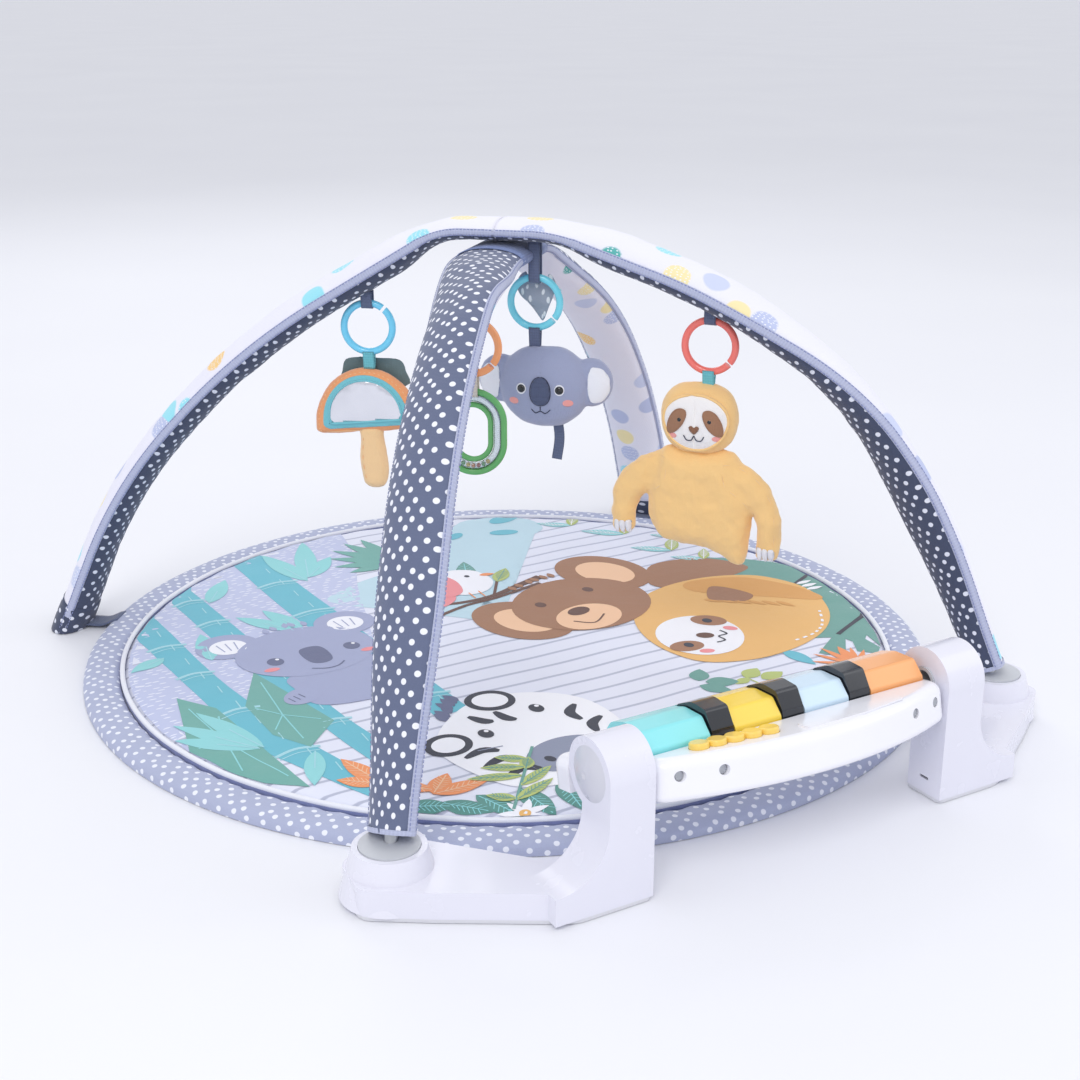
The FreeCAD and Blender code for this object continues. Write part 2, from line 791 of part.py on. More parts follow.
# ---- hanging toys ----
# Each is drawn in its own flat frame: x across, y away from its front, z = 0 at the ring's middle.
def toy_place(shape, out_heading, distance, offset, ring_z, facing):
    """Turn a toy to face its way, and move it under its leg."""
    out = shape.copy()
    out.translate(Vector(offset, 0, 0))
    out.rotate(Vector(), Vector(0, 0, 1), facing)
    out.translate(crossing + out_heading * distance + Vector(0, 0, ring_z))
    return out


def link_ring(gap_turn):
    """Open plastic link ring in the XZ plane, with a small snap gap."""
    ring = Part.makeTorus(ring_radius, ring_wire, Vector(), Vector(0, 1, 0))
    gap = box(ring_radius - 8, ring_radius + 8, -8, 8, -ring_gap / 2, ring_gap / 2)
    gap.rotate(Vector(), Vector(0, 1, 0), gap_turn)
    return ring.cut(gap)


def strap_loop(center_z, up):
    """Webbing loop round the ring's wire at center_z, whose two plies run on up or down to up."""
    inner = ring_wire + loop_clearance
    outer = inner + loop_thickness
    half = loop_width / 2
    sign = 1 if up > center_z else -1
    ring = drum(outer, loop_width, Vector(-half, 0, center_z), Vector(1, 0, 0))
    low, high = sorted((center_z, up))
    ring = ring.fuse(box(-half, half, -outer, outer, low, high))
    hole = drum(inner, loop_width + 2, Vector(-half - 1, 0, center_z), Vector(1, 0, 0))
    far = center_z + sign * (inner + 4.0)
    low, high = sorted((center_z, far))
    return ring.cut(hole).cut(box(-half - 1, half + 1, -inner, inner, low, high))


def half_dome(width, height, base_z, depth_front, depth_back, rounding):
    """Mushroom-cap outline, extruded from depth_front to depth_back."""
    w = width / 2
    points = [(-w, depth_front, base_z), (-w * 0.74, depth_front, base_z + height * 0.62),
              (-w * 0.3, depth_front, base_z + height), (w * 0.3, depth_front, base_z + height),
              (w * 0.74, depth_front, base_z + height * 0.62), (w, depth_front, base_z)]
    radii = [rounding, height * 0.5, height * 0.45, height * 0.45, height * 0.5, rounding]
    return slab(points, radii, Vector(0, depth_back - depth_front, 0))


def leaning(shape):
    """The cap and its mirror sit a little off centre and turned."""
    out = shape.translated(Vector(-5, 0, 0))
    out.rotate(Vector(-5, 0, -74), Vector(0, 1, 0), 5.0)
    return out


def mushroom():
    cap = leaning(half_dome(110, 66, -107, -11, 11, 5.0).cut(half_dome(76, 44, -97, -12, -8, 5.0)))
    mirror = leaning(half_dome(75, 43, -96.6, -10, -8.1, 4.8))
    stem = slab([(-11, -8, -100), (11, -8, -100), (16, -8, -165), (-10, -8, -165)], [1.5, 1.5, 9, 9],
                Vector(0, 16, 0)).cut(cap)
    stem = min(stem.Solids, key=lambda solid: solid.CenterOfMass.z).translated(Vector(0, 0, -0.3))
    flap = slab([(-30, 11.4, -62), (34, 11.4, -62), (28, 11.4, -36), (4, 11.4, -33), (-22, 11.4, -42)],
                [4, 4, 4, 20, 8], Vector(0, 1.2, 0))
    strap = strap_loop(-ring_radius, -60.0).cut(cap.fuse(cap.translated(Vector(0, 0, -10))))
    return {"mushroom_cap": cap, "mushroom_mirror": mirror, "mushroom_stem": stem, "mushroom_flap": flap,
            "mushroom_strap": max(strap.Solids, key=lambda solid: solid.CenterOfMass.z)}


def oval_prism(width, depth, height, center):
    """Upright oval, extruded front to back about its centre."""
    across = Vector(1, 0, 0)
    if width >= height:
        curve = Part.Ellipse(center + across * (width / 2), center + Vector(0, 0, height / 2), center)
    else:
        curve = Part.Ellipse(center + Vector(0, 0, height / 2), center + across * (width / 2), center)
    face = Part.Face(Part.Wire([curve.toShape()]))
    return face.translated(Vector(0, -depth / 2, 0)).extrude(Vector(0, depth, 0))


def pillow(width, depth, height, center):
    """Oval pad, thinner towards its edge."""
    core = oval_prism(width, depth * 0.5, height, center)
    return core.fuse(oval_prism(width * 0.8, depth, height * 0.8, center))


def koala():
    middle = Vector(10, 0, -83)
    ears = [pillow(46, 22, 50, middle + Vector(side * 46, 3, 6)) for side in (-1, 1)]
    head = joined([pillow(90, 46, 82, middle)] + ears)
    leaf = slab([(-20, 7.5, 12), (-12, 7.5, 27), (12, 7.5, 28), (18, 7.5, 12), (6, 7.5, -20),
                 (-8, 7.5, -2)], [8, 8, 6, 10, 4, 10], Vector(0, 1.6, 0))
    strap = strap_loop(-ring_radius, -60.0).cut(head)
    strap = max(strap.Solids, key=lambda solid: solid.CenterOfMass.z)
    tab = box(20, 26, -1.5, 1.5, -157, -90).cut(head)
    tab = min(tab.Solids, key=lambda solid: solid.CenterOfMass.z)
    return {"koala_head": head, "crinkle_leaf": leaf, "koala_strap": grouped([strap, tab])}


def oval_tube(half_x, half_z, wire, center_z):
    """Closed tube whose centre line is two straight sides joined by half rounds."""
    run = half_z - half_x
    top = Vector(0, 0, center_z + run)
    low = Vector(0, 0, center_z - run)
    across = Vector(half_x, 0, 0)
    edges = [
        Part.LineSegment(low + across, top + across).toShape(),
        Part.Arc(top + across, top + Vector(0, 0, half_x), top - across).toShape(),
        Part.LineSegment(top - across, low - across).toShape(),
        Part.Arc(low - across, low - Vector(0, 0, half_x), low + across).toShape(),
    ]
    circle = Part.Wire([Part.makeCircle(wire, low + across, Vector(0, 0, 1))])
    return Part.Wire(edges).makePipeShell([circle], True, True)


def rattle_strap(low_z):
    """Webbing round the ring's wire above and the rattle's tube below."""
    inner = ring_wire + loop_clearance
    outer = inner + loop_thickness
    half = loop_width / 2
    shape = box(-half, half, -outer, outer, low_z, -ring_radius)
    hole = box(-half, half, -inner, inner, low_z, -ring_radius)
    for z in (low_z, -ring_radius):
        shape = shape.fuse(drum(outer, loop_width, Vector(-half, 0, z), Vector(1, 0, 0)))
        hole = hole.fuse(drum(inner, loop_width, Vector(-half, 0, z), Vector(1, 0, 0)))
    return shape.cut(hole)


def rattle():
    middle = -79.5
    outer = oval_tube(29.0, 38.5, 3.0, middle)
    inner = oval_tube(16.6, 26.0, 2.6, middle)
    channel = oval_tube(22.8, 32.3, 3.4, middle).cut(outer).cut(inner)
    hollow = oval_tube(22.8, 32.3, 2.6, middle)
    beads = []
    for k in range(-3, 4):
        turn = math.radians(12.5 * k)
        center = Vector(22.8 * math.sin(turn), 0, middle - 9.5 - 22.8 * math.cos(turn))
        beads.append(Part.makeSphere(2.2, center))
    strap = rattle_strap(middle + 38.5)
    return {"rattle_rings": grouped([outer, inner]), "rattle_tube": channel.cut(hollow).cut(strap),
            "rattle_beads": grouped(beads), "rattle_strap": strap}


def sloth():
    middle = Vector(-8, 0, -71)
    head = pillow(75, 40, 70, middle)
    body = slab([(-46, -17, -103), (26, -17, -103), (47, -17, -140), (47, -17, -190), (37, -17, -217),
                 (-2, -17, -201), (-40, -17, -197), (-58, -17, -160)], [14, 18, 24, 14, 7, 30, 16, 20],
                Vector(0, 34, 0))
    right = slab([(16, -11, -106), (56, -11, -126), (76, -11, -160), (75, -11, -206), (52, -11, -206),
                  (53, -11, -170), (30, -11, -140)], [8, 22, 24, 5, 5, 12, 10], Vector(0, 22, 0))
    left = slab([(-32, -11, -105), (-66, -11, -116), (-91, -11, -146), (-93, -11, -192), (-70, -11, -194),
                 (-68, -11, -160), (-44, -11, -142)], [8, 22, 24, 5, 5, 12, 10], Vector(0, 22, 0))
    body = joined([body, right, left]).cut(pillow(75.6, 40.6, 70.6, middle))
    strap = strap_loop(-ring_radius, -60.0).cut(head)
    strap = max(strap.Solids, key=lambda solid: solid.CenterOfMass.z)
    return {"sloth_head": head, "sloth_body": body, "sloth_strap": strap}


toy_set = {
    "mushroom": (mushroom, "rear_left", 135.0, 0.0, 333.5, -37.5),
    "koala": (koala, "front_right", 38.0, -4.0, 364.0, -44.0),
    "rattle": (rattle, "front_left", 125.0, -6.0, 344.0, -39.5),
    "sloth": (sloth, "front_right", 209.0, 0.0, 334.0, -50.5),
}
out_headings = {
    "rear_left": leg_heading(-1, rear_foot),
    "front_right": leg_heading(1, front_foot),
    "front_left": leg_heading(-1, front_foot),
}
sleeves = Part.makeCompound([nodes["sleeve_" + name] for name in legs] + [nodes["crossing_band"]])
loops = []
for name, (make, leg, distance, offset, ring_z, facing) in toy_set.items():
    place = (out_headings[leg], distance, offset, ring_z, facing)
    loop = toy_place(strap_loop(ring_radius, ring_radius + 60), *place).cut(sleeves)
    loops.append(min(loop.Solids, key=lambda solid: solid.CenterOfMass.z))
    gap_turn = -50 if name == "mushroom" else 40
    nodes["link_ring_" + name] = toy_place(link_ring(gap_turn), *place)
    for node, shape in make().items():
        nodes[node] = toy_place(shape, *place)
nodes["toy_loops"] = grouped(loops)


# ---- origin at the middle of the footprint ----
front_edge = nodes["piano_bottom_shell"].optimalBoundingBox(False).YMin
center_shift = Vector(0, -(front_edge + mat_radius) / 2, 0)
print("shift in y", round(center_shift.y, 3))

os.makedirs("parts", exist_ok=True)
for name, shape in nodes.items():
    shape.translate(center_shift)
    shape.exportStep("parts/" + name + ".step")
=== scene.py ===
import json
import math

import bmesh
import bpy
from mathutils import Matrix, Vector, noise
from mathutils.bvhtree import BVHTree

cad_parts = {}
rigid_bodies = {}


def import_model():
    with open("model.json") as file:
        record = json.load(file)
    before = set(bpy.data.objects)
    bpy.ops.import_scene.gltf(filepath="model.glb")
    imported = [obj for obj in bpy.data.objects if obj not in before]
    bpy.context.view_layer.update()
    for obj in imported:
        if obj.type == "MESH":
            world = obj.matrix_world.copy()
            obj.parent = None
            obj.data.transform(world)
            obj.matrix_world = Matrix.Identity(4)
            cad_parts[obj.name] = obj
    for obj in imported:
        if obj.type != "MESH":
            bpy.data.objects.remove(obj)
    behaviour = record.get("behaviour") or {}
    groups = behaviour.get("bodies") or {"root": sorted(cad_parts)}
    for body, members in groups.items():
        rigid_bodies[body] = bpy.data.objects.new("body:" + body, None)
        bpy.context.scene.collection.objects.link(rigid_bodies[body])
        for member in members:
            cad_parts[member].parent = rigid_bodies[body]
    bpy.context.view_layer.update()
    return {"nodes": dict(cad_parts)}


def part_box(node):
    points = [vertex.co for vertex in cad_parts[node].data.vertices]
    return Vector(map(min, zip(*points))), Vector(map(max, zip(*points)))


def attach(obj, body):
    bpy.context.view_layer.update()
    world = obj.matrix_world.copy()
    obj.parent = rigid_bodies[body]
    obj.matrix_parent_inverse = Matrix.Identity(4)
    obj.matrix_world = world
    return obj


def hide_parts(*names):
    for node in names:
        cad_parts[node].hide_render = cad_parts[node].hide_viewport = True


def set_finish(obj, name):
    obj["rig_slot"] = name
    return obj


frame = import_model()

nodes = frame["nodes"]
mm = 0.001
mat_low, mat_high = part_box("mat_border")
mat_middle = Vector(((mat_low.x + mat_high.x) / 2, (mat_low.y + mat_high.y) / 2, 0))


# ---------------------------------------------------------------- meshes
def rgb(code):
    """Linear colour from an sRGB hex code."""
    out = []
    for k in (0, 2, 4):
        c = int(code[k:k + 2], 16) / 255
        out.append(c / 12.92 if c <= 0.04045 else ((c + 0.055) / 1.055) ** 2.4)
    return (out[0], out[1], out[2], 1.0)


def mesh_object(name, verts, faces, materials, smooth=True, uvs=None, indices=None):
    mesh = bpy.data.meshes.new(name)
    mesh.from_pydata([tuple(v) for v in verts], [], faces)
    for m in materials if isinstance(materials, (list, tuple)) else [materials]:
        mesh.materials.append(m)
    if uvs is not None:
        layer = mesh.uv_layers.new(name="UVMap")
        for poly in mesh.polygons:
            for k, loop in enumerate(poly.loop_indices):
                layer.data[loop].uv = uvs[poly.index][k]
    if indices is not None:
        for poly in mesh.polygons:
            poly.material_index = indices[poly.index]
    mesh.update()
    if smooth:
        for poly in mesh.polygons:
            poly.use_smooth = True
    obj = bpy.data.objects.new(name, mesh)
    bpy.context.scene.collection.objects.link(obj)
    return obj


def bmesh_object(name, bm, material):
    mesh = bpy.data.meshes.new(name)
    bm.to_mesh(mesh)
    bm.free()
    mesh.materials.append(material)
    obj = bpy.data.objects.new(name, mesh)
    bpy.context.scene.collection.objects.link(obj)
    return obj


def ring_faces(rings, around, base=0):
    """Quads between neighbouring rings of points, each ring closed on itself."""
    faces = []
    for i in range(rings - 1):
        for k in range(around):
            n = (k + 1) % around
            low, high = base + i * around, base + (i + 1) * around
            faces.append((low + k, high + k, high + n, low + n))
    return faces


def put(obj, body, slot=None, stands_for=()):
    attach(obj, body)
    if slot:
        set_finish(obj, slot)
    if stands_for:
        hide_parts(*stands_for)
    return obj


def wobble(x, y, z, scale, seed=0.0):
    return noise.noise(Vector((x / scale + seed, y / scale + 7.3 * seed, z / scale + 3.1 * seed)))


def apply_all(obj):
    bpy.context.view_layer.update()
    deps = bpy.context.evaluated_depsgraph_get()
    mesh = bpy.data.meshes.new_from_object(obj.evaluated_get(deps))
    obj.modifiers.clear()
    old = obj.data
    obj.data = mesh
    bpy.data.meshes.remove(old)
    for poly in mesh.polygons:
        poly.use_smooth = True
    return obj


# ---------------------------------------------------------------- materials
class Paint:
    """A node material with a Principled shader, built a node at a time."""

    def __init__(self, name, **sockets):
        self.mat = bpy.data.materials.new(name)
        self.mat.use_nodes = True
        self.tree = self.mat.node_tree
        self.shader = next(n for n in self.tree.nodes if n.type == "BSDF_PRINCIPLED")
        for key, value in sockets.items():
            self.shader.inputs[key.replace("_", " ")].default_value = value

    def add(self, kind, _set=None, **inputs):
        node = self.tree.nodes.new("ShaderNode" + kind)
        for key, value in (_set or {}).items():
            setattr(node, key, value)
        for key, value in inputs.items():
            numbered = key[0] == "i" and key[1:].isdigit()
            where = node.inputs[int(key[1:]) if numbered else key.replace("_", " ")]
            if hasattr(value, "links"):
                self.tree.links.new(value, where)
            else:
                where.default_value = value
        return node

    def to(self, socket, key):
        self.tree.links.new(socket, self.shader.inputs[key.replace("_", " ")])

    def coords(self, kind="Object", scale=(1, 1, 1)):
        base = self.add("TexCoord").outputs[kind]
        return self.add("Mapping", Vector=base, Scale=scale).outputs["Vector"]

    def noise(self, where, scale, detail=2.0, rough=0.5):
        return self.add("TexNoise", Vector=where, Scale=scale, Detail=detail, Roughness=rough).outputs["Fac"]

    def ramp(self, fac, stops, constant=False):
        node = self.add("ValToRGB", Fac=fac)
        ramp = node.color_ramp
        if constant:
            ramp.interpolation = "CONSTANT"
        while len(ramp.elements) < len(stops):
            ramp.elements.new(0.5)
        for element, (place, colour) in zip(ramp.elements, stops):
            element.position = place
            element.color = colour if len(colour) == 4 else (*colour, 1.0)
        return node.outputs["Color"]

    def mix(self, fac, a, b, mode="MIX"):
        return self.add("MixRGB", {"blend_type": mode}, Fac=fac, Color1=a, Color2=b).outputs["Color"]

    def math(self, kind, a, b=0.0):
        return self.add("Math", {"operation": kind}, i0=a, i1=b).outputs["Value"]

    def bump(self, height, strength, distance, normal=None):
        node = self.add("Bump", Height=height, Strength=strength, Distance=distance)
        if normal is not None:
            self.tree.links.new(normal, node.inputs["Normal"])
        return node.outputs["Normal"]


def shade(colour, k):
    return (min(1, colour[0] * k), min(1, colour[1] * k), min(1, colour[2] * k), 1.0)


def weave_height(p, where, pitch):
    """Over-and-under threads: two crossed sets of fine ribs."""
    warp = p.add("TexWave", {"bands_direction": "X"}, Vector=where, Scale=1 / pitch / 6.283, Distortion=0.4,
                 Detail=1.0).outputs["Fac"]
    weft = p.add("TexWave", {"bands_direction": "Y"}, Vector=where, Scale=1 / pitch / 6.283, Distortion=0.4,
                 Detail=1.0).outputs["Fac"]
    up = p.add("TexWave", {"bands_direction": "Z"}, Vector=where, Scale=1 / pitch / 6.283, Distortion=0.4,
               Detail=1.0).outputs["Fac"]
    return p.math("ADD", p.math("MULTIPLY", warp, weft), p.math("MULTIPLY", up, 0.6))


def fabric_finish(p, where, pitch=0.0011, fold=0.35, weave=0.25):
    """Weave, fuzz and soft creases as bump, and an uneven roughness."""
    fine = weave_height(p, where, pitch)
    normal = p.bump(fine, weave, 0.0004)
    normal = p.bump(p.noise(where, 900.0, 2.0), 0.18, 0.0004, normal)
    normal = p.bump(p.noise(where, 38.0, 3.0, 0.55), fold, 0.0022, normal)
    p.to(normal, "Normal")
    rough = p.add("MapRange", Value=p.noise(where, 160.0, 2.0), i3=0.74, i4=0.93).outputs["Result"]
    p.to(rough, "Roughness")


def varied(p, where, colour, amount=0.07, scale=26.0):
    """The colour with soft patches and a fine thread mottle."""
    broad = p.mix(p.noise(where, scale, 3.0), shade(colour, 1 - amount), shade(colour, 1 + amount))
    return p.mix(p.noise(where, 1400.0, 1.0), shade(colour, 1 - amount * 1.4), broad)


def fabric(name, code, pitch=0.0011, fold=0.35, amount=0.06, sheen=0.25, kind="Object"):
    p = Paint(name, Sheen_Weight=sheen, Sheen_Roughness=0.5, Specular_IOR_Level=0.25)
    where = p.coords(kind)
    p.to(varied(p, where, rgb(code), amount), "Base_Color")
    fabric_finish(p, where, pitch, fold)
    return p.mat


def dots(p, where, pitch, radius, randomness=0.45):
    """Mask of round dots, 1 inside, in slightly uneven staggered rows."""
    where = p.add("Mapping", Vector=where, Rotation=(0, 0, 0.72)).outputs["Vector"]
    cells = p.add("TexVoronoi", {"voronoi_dimensions": "2D"}, Vector=where, Scale=1 / pitch,
                  Randomness=randomness)
    far = cells.outputs["Distance"]
    edge = radius / pitch
    mask = p.add("MapRange", Value=far, i1=edge * 1.08, i2=edge * 0.92, i3=0.0, i4=1.0).outputs["Result"]
    return mask, cells


def dotted_fabric(name, ground, dot, pitch, radius, fold=0.4, kind="UV", randomness=0.45):
    p = Paint(name, Sheen_Weight=0.2, Specular_IOR_Level=0.3)
    where = p.coords(kind)
    mask, _ = dots(p, where, pitch, radius, randomness)
    body = p.coords("Object")
    base = varied(p, body, rgb(ground), 0.08)
    p.to(p.mix(mask, base, varied(p, body, rgb(dot), 0.03)), "Base_Color")
    fabric_finish(p, body, 0.0011, fold)
    return p.mat


def plastic(name, code, rough=0.22, coat=0.25, amount=0.02, grain=0.05, sub=0.0):
    p = Paint(name, Coat_Weight=coat, Coat_Roughness=0.12, Subsurface_Weight=sub, Subsurface_Scale=0.004)
    where = p.coords("Object")
    colour = rgb(code)
    tone = p.mix(p.noise(where, 14.0, 2.0), shade(colour, 1 - amount), shade(colour, 1 + amount))
    tone = p.mix(p.math("MULTIPLY", p.noise(where, 420.0, 2.0), 0.12), tone, shade(colour, 0.93))
    p.to(tone, "Base_Color")
    smear = p.add("MapRange", Value=p.noise(where, 30.0, 4.0), i3=rough * 0.8,
                  i4=rough * 1.35).outputs["Result"]
    p.to(smear, "Roughness")
    normal = p.bump(p.noise(where, 1300.0, 1.0), grain, 0.0002)
    normal = p.bump(p.noise(where, 22.0, 1.0), 0.03, 0.001, normal)
    p.to(normal, "Normal")
    return p.mat


def metal(name, code, rough=0.3):
    p = Paint(name, Metallic=1.0)
    where = p.coords("Object", (1, 1, 14))
    p.to(p.mix(p.noise(where, 200.0), shade(rgb(code), 0.85), shade(rgb(code), 1.05)), "Base_Color")
    p.to(p.add("MapRange", Value=p.noise(where, 90.0), i3=rough * 0.7, i4=rough * 1.4).outputs["Result"],
         "Roughness")
    return p.mat


def webbing(name, code, kind="UV"):
    """Woven tape: ribs across it, a firmer edge and a slight shine."""
    p = Paint(name, Sheen_Weight=0.2, Specular_IOR_Level=0.35)
    where = p.coords(kind)
    ribs = p.add("TexWave", {"bands_direction": "X"}, Vector=where, Scale=1 / 0.0014 / 6.283,
                 Distortion=0.6).outputs["Fac"]
    cross = p.add("TexWave", {"bands_direction": "Y"}, Vector=where, Scale=1 / 0.0011 / 6.283,
                  Distortion=0.3).outputs["Fac"]
    height = p.math("ADD", ribs, p.math("MULTIPLY", cross, 0.7))
    colour = rgb(code)
    p.to(p.mix(p.math("MULTIPLY", height, 0.35), shade(colour, 1.04), shade(colour, 0.8)), "Base_Color")
    p.to(p.bump(height, 0.45, 0.0004), "Normal")
    p.to(p.add("MapRange", Value=p.noise(where, 120.0), i3=0.65, i4=0.85).outputs["Result"], "Roughness")
    return p.mat


white_plastic = plastic("white_shell", "F3F3FA", 0.2, 0.35)
bracket_plastic = plastic("bracket_shell", "E6E6F2", 0.24, 0.3)
grey_plastic = plastic("ferrule_grey", "C6C9CF", 0.4, 0.0, grain=0.2)
silver_plastic = plastic("hub_silver", "CFD0DA", 0.27, 0.3, amount=0.04)
black_plastic = plastic("key_black_gloss", "20242C", 0.14, 0.6)
dark_plastic = plastic("dark_plastic", "3A3D45", 0.45, 0.0, grain=0.2)
white_thread = fabric("white_piping", "EFF1FA", 0.0008, 0.2)
lilac_binding = webbing("lilac_binding", "B7BDD8")
lilac_thread = fabric("lilac_thread", "8E97C4", 0.0006, 0.1)
slate_webbing = webbing("slate_webbing", "616B88")
teal_webbing = webbing("teal_webbing", "6FC0CC")
beige_webbing = webbing("beige_webbing", "D9D0C6")
band_cloth = webbing("band_cloth", "7E8DB8")
border_cloth = dotted_fabric("border_dots", "B3BAD6", "EEF1FB", 0.0108, 0.0024, 0.5, "UV", 0.32)
dark_dots = dotted_fabric("slate_dots", "68718E", "F1F3FC", 0.0108, 0.0024, 0.4, "UV", 0.3)
under_dots = dotted_fabric("navy_dots", "485069", "E6EAF7", 0.0105, 0.0022, 0.4, "UV", 0.3)


def big_dots():
    """White cloth with large soft-coloured round prints, some hatched."""
    p = Paint("white_big_dots", Sheen_Weight=0.15, Specular_IOR_Level=0.25)
    where = p.coords("UV")
    body = p.coords("Object")
    mask, cells = dots(p, where, 0.046, 0.0125, 0.75)
    spread = p.add("SeparateColor", Color=cells.outputs["Color"])
    pick = spread.outputs[0]
    size = p.math("GREATER_THAN", spread.outputs[1], 0.12)
    palette = [(0.0, rgb("BFC8E8")), (0.2, rgb("A6E6F4")), (0.36, rgb("CDD5F0")), (0.5, rgb("5FB3B0")),
               (0.62, rgb("F6CF8B")), (0.75, rgb("F5E7B4")), (0.87, rgb("9DE3F2"))]
    tint = p.ramp(pick, palette, constant=True)
    hatch = p.add("TexVoronoi", {"voronoi_dimensions": "2D"}, Vector=p.coords("UV", (1, 2.2, 1)),
                  Scale=1 / 0.0046, Randomness=0.5)
    marks = p.add("MapRange", Value=hatch.outputs["Distance"], i1=0.24, i2=0.18, i3=0.0,
                  i4=0.85).outputs["Result"]
    marks = p.math("MULTIPLY", marks, p.math("GREATER_THAN", spread.outputs[2], 0.55))
    tint = p.mix(marks, tint, rgb("F4F6FF"))
    ground = varied(p, body, rgb("EDEDFA"), 0.025)
    p.to(p.mix(p.math("MULTIPLY", mask, size), ground, tint), "Base_Color")
    fabric_finish(p, body, 0.0011, 0.35)
    return p.mat


white_dots = big_dots()


def mat_ground(name, ground, mark, stretch, pitch, radius, stripes):
    """Printed plush of the mat: brushed pile, faint pile direction, and small printed marks or stripes."""
    p = Paint(name, Sheen_Weight=0.35, Sheen_Roughness=0.45, Specular_IOR_Level=0.2)
    body = p.coords("Object")
    base = varied(p, body, rgb(ground), 0.03, 12.0)
    if stripes:
        wave = p.add("TexWave", {"bands_direction": "Y"}, Vector=body, Scale=1 / 0.012 / 6.283,
                     Distortion=2.4, Detail=1.0, Detail_Scale=0.35).outputs["Fac"]
        line = p.add("MapRange", Value=wave, i1=0.1, i2=0.02, i3=0.0, i4=0.8).outputs["Result"]
        base = p.mix(line, base, rgb(mark))
    else:
        mask, _ = dots(p, p.coords("Object", stretch), pitch, radius, 0.7)
        base = p.mix(p.math("MULTIPLY", mask, 0.75), base, rgb(mark))
    p.to(base, "Base_Color")
    plush_finish(p, body)
    return p.mat


def plush_finish(p, where):
    normal = p.bump(p.noise(where, 1500.0, 2.0), 0.25, 0.0005)
    normal = p.bump(p.noise(where, 60.0, 3.0, 0.6), 0.2, 0.0018, normal)
    p.to(normal, "Normal")
    rough = p.add("MapRange", Value=p.noise(where, 90.0, 2.0), i3=0.8, i4=0.97).outputs["Result"]
    p.to(rough, "Roughness")


def plush(name, code, amount=0.05, sheen=0.35):
    p = Paint(name, Sheen_Weight=sheen, Sheen_Roughness=0.45, Specular_IOR_Level=0.2)
    where = p.coords("Object")
    p.to(varied(p, where, rgb(code), amount, 20.0), "Base_Color")
    plush_finish(p, where)
    return p.mat


# ---------------------------------------------------------------- the mat
panel_radius = 389.0
panel_top = 13.2
layer_step = 0.16


def mat_level(x, y):
    """Height of the quilted panel at a point given in mm from the mat's middle."""
    r = math.hypot(x, y)
    roll = max(0.0, (r - (panel_radius - 16)) / 16)
    edge = 4.2 * (1 - math.sqrt(max(0.0, 1 - min(roll, 1.0) ** 2)))
    soft = 1.0 * wobble(x, y, 0, 110, 1.0) + 0.35 * wobble(x, y, 0, 42, 2.0)
    gather = 0.5 * max(0.0, (r - 300) / 89) ** 2 * math.sin(math.atan2(y, x) * 46
                                                            + 2.2 * wobble(x, y, 0, 90, 4.0))
    return panel_top - edge + soft + gather


def on_mat(x, y, z):
    return Vector((x * mm, y * mm, z * mm)) + mat_middle


def lathe(name, profile, segments, materials, bump=None, closed=False, indices=None):
    """Ring swept round the mat's middle. Profile points are (radius, height) in mm."""
    lengths = [0.0]
    for a, b in zip(profile, profile[1:]):
        lengths.append(lengths[-1] + math.dist(a, b))
    verts, faces, uvs, which = [], [], [], []
    count = len(profile)
    for s in range(segments):
        angle = 2 * math.pi * s / segments
        for k, (r, z) in enumerate(profile):
            extra = bump(angle, k / (count - 1), r) if bump else (0.0, 0.0)
            verts.append(on_mat((r + extra[0]) * math.cos(angle), (r + extra[0]) * math.sin(angle),
                                z + extra[1]))
    rows = count if closed else count - 1
    for s in range(segments):
        nxt = (s + 1) % segments
        u0 = s * 2 * math.pi * 0.41 / segments
        u1 = (s + 1) * 2 * math.pi * 0.41 / segments
        for k in range(rows):
            m = (k + 1) % count
            faces.append((s * count + k, nxt * count + k, nxt * count + m, s * count + m))
            v0 = lengths[k] * mm
            v1 = lengths[m] * mm if m else v0
            uvs.append([(u0, v0), (u1, v0), (u1, v1), (u0, v1)])
            which.append(indices[k] if indices else 0)
    return mesh_object(name, verts, faces, materials, uvs=uvs, indices=which)


def mat_panel():
    segments, step = 300, 7.5
    rings = int(panel_radius / step)
    verts = [on_mat(0, 0, mat_level(0, 0))]
    faces = []
    for i in range(1, rings + 1):
        r = panel_radius * i / rings
        for s in range(segments):
            a = 2 * math.pi * s / segments
            x, y = r * math.cos(a), r * math.sin(a)
            verts.append(on_mat(x, y, mat_level(x, y)))
    for s in range(segments):
        faces.append((0, 1 + s, 1 + (s + 1) % segments))
    for i in range(rings - 1):
        a, b = 1 + i * segments, 1 + (i + 1) * segments
        for s in range(segments):
            n = (s + 1) % segments
            faces.append((a + s, b + s, b + n, a + n))
    top = 1 + (rings - 1) * segments
    low = len(verts)
    for s in range(segments):
        a = 2 * math.pi * s / segments
        verts.append(on_mat((panel_radius - 1) * math.cos(a), (panel_radius - 1) * math.sin(a), 0.6))
    for s in range(segments):
        n = (s + 1) % segments
        faces.append((top + s, low + s, low + n, top + n))
    faces.append(tuple(low + s for s in reversed(range(segments))))
    return mesh_object("mat_quilted_panel", verts, faces, mat_ground("mat_white_ground", "E6E9F8", "A9AEC4",
                                                                     (1, 1, 1), 0.01, 0.001, True))


def border_bump(angle, share, r):
    """Gathers of the border: deep by the piping, fading to the outer edge."""
    x, y = 100 * math.cos(angle), 100 * math.sin(angle)
    near = max(0.0, 1 - abs(share - 0.2) * 2.2)
    ripple = math.sin(angle * 118 + 3 * wobble(x, y, 0, 14, 5.0))
    lift = near * (0.7 * ripple + 0.5 * wobble(x, y, 0, 4, 6.0))
    far = max(0.0, 1 - abs(share - 0.72) * 3)
    return 0.9 * far * wobble(x, y, 0, 9, 8.0), lift


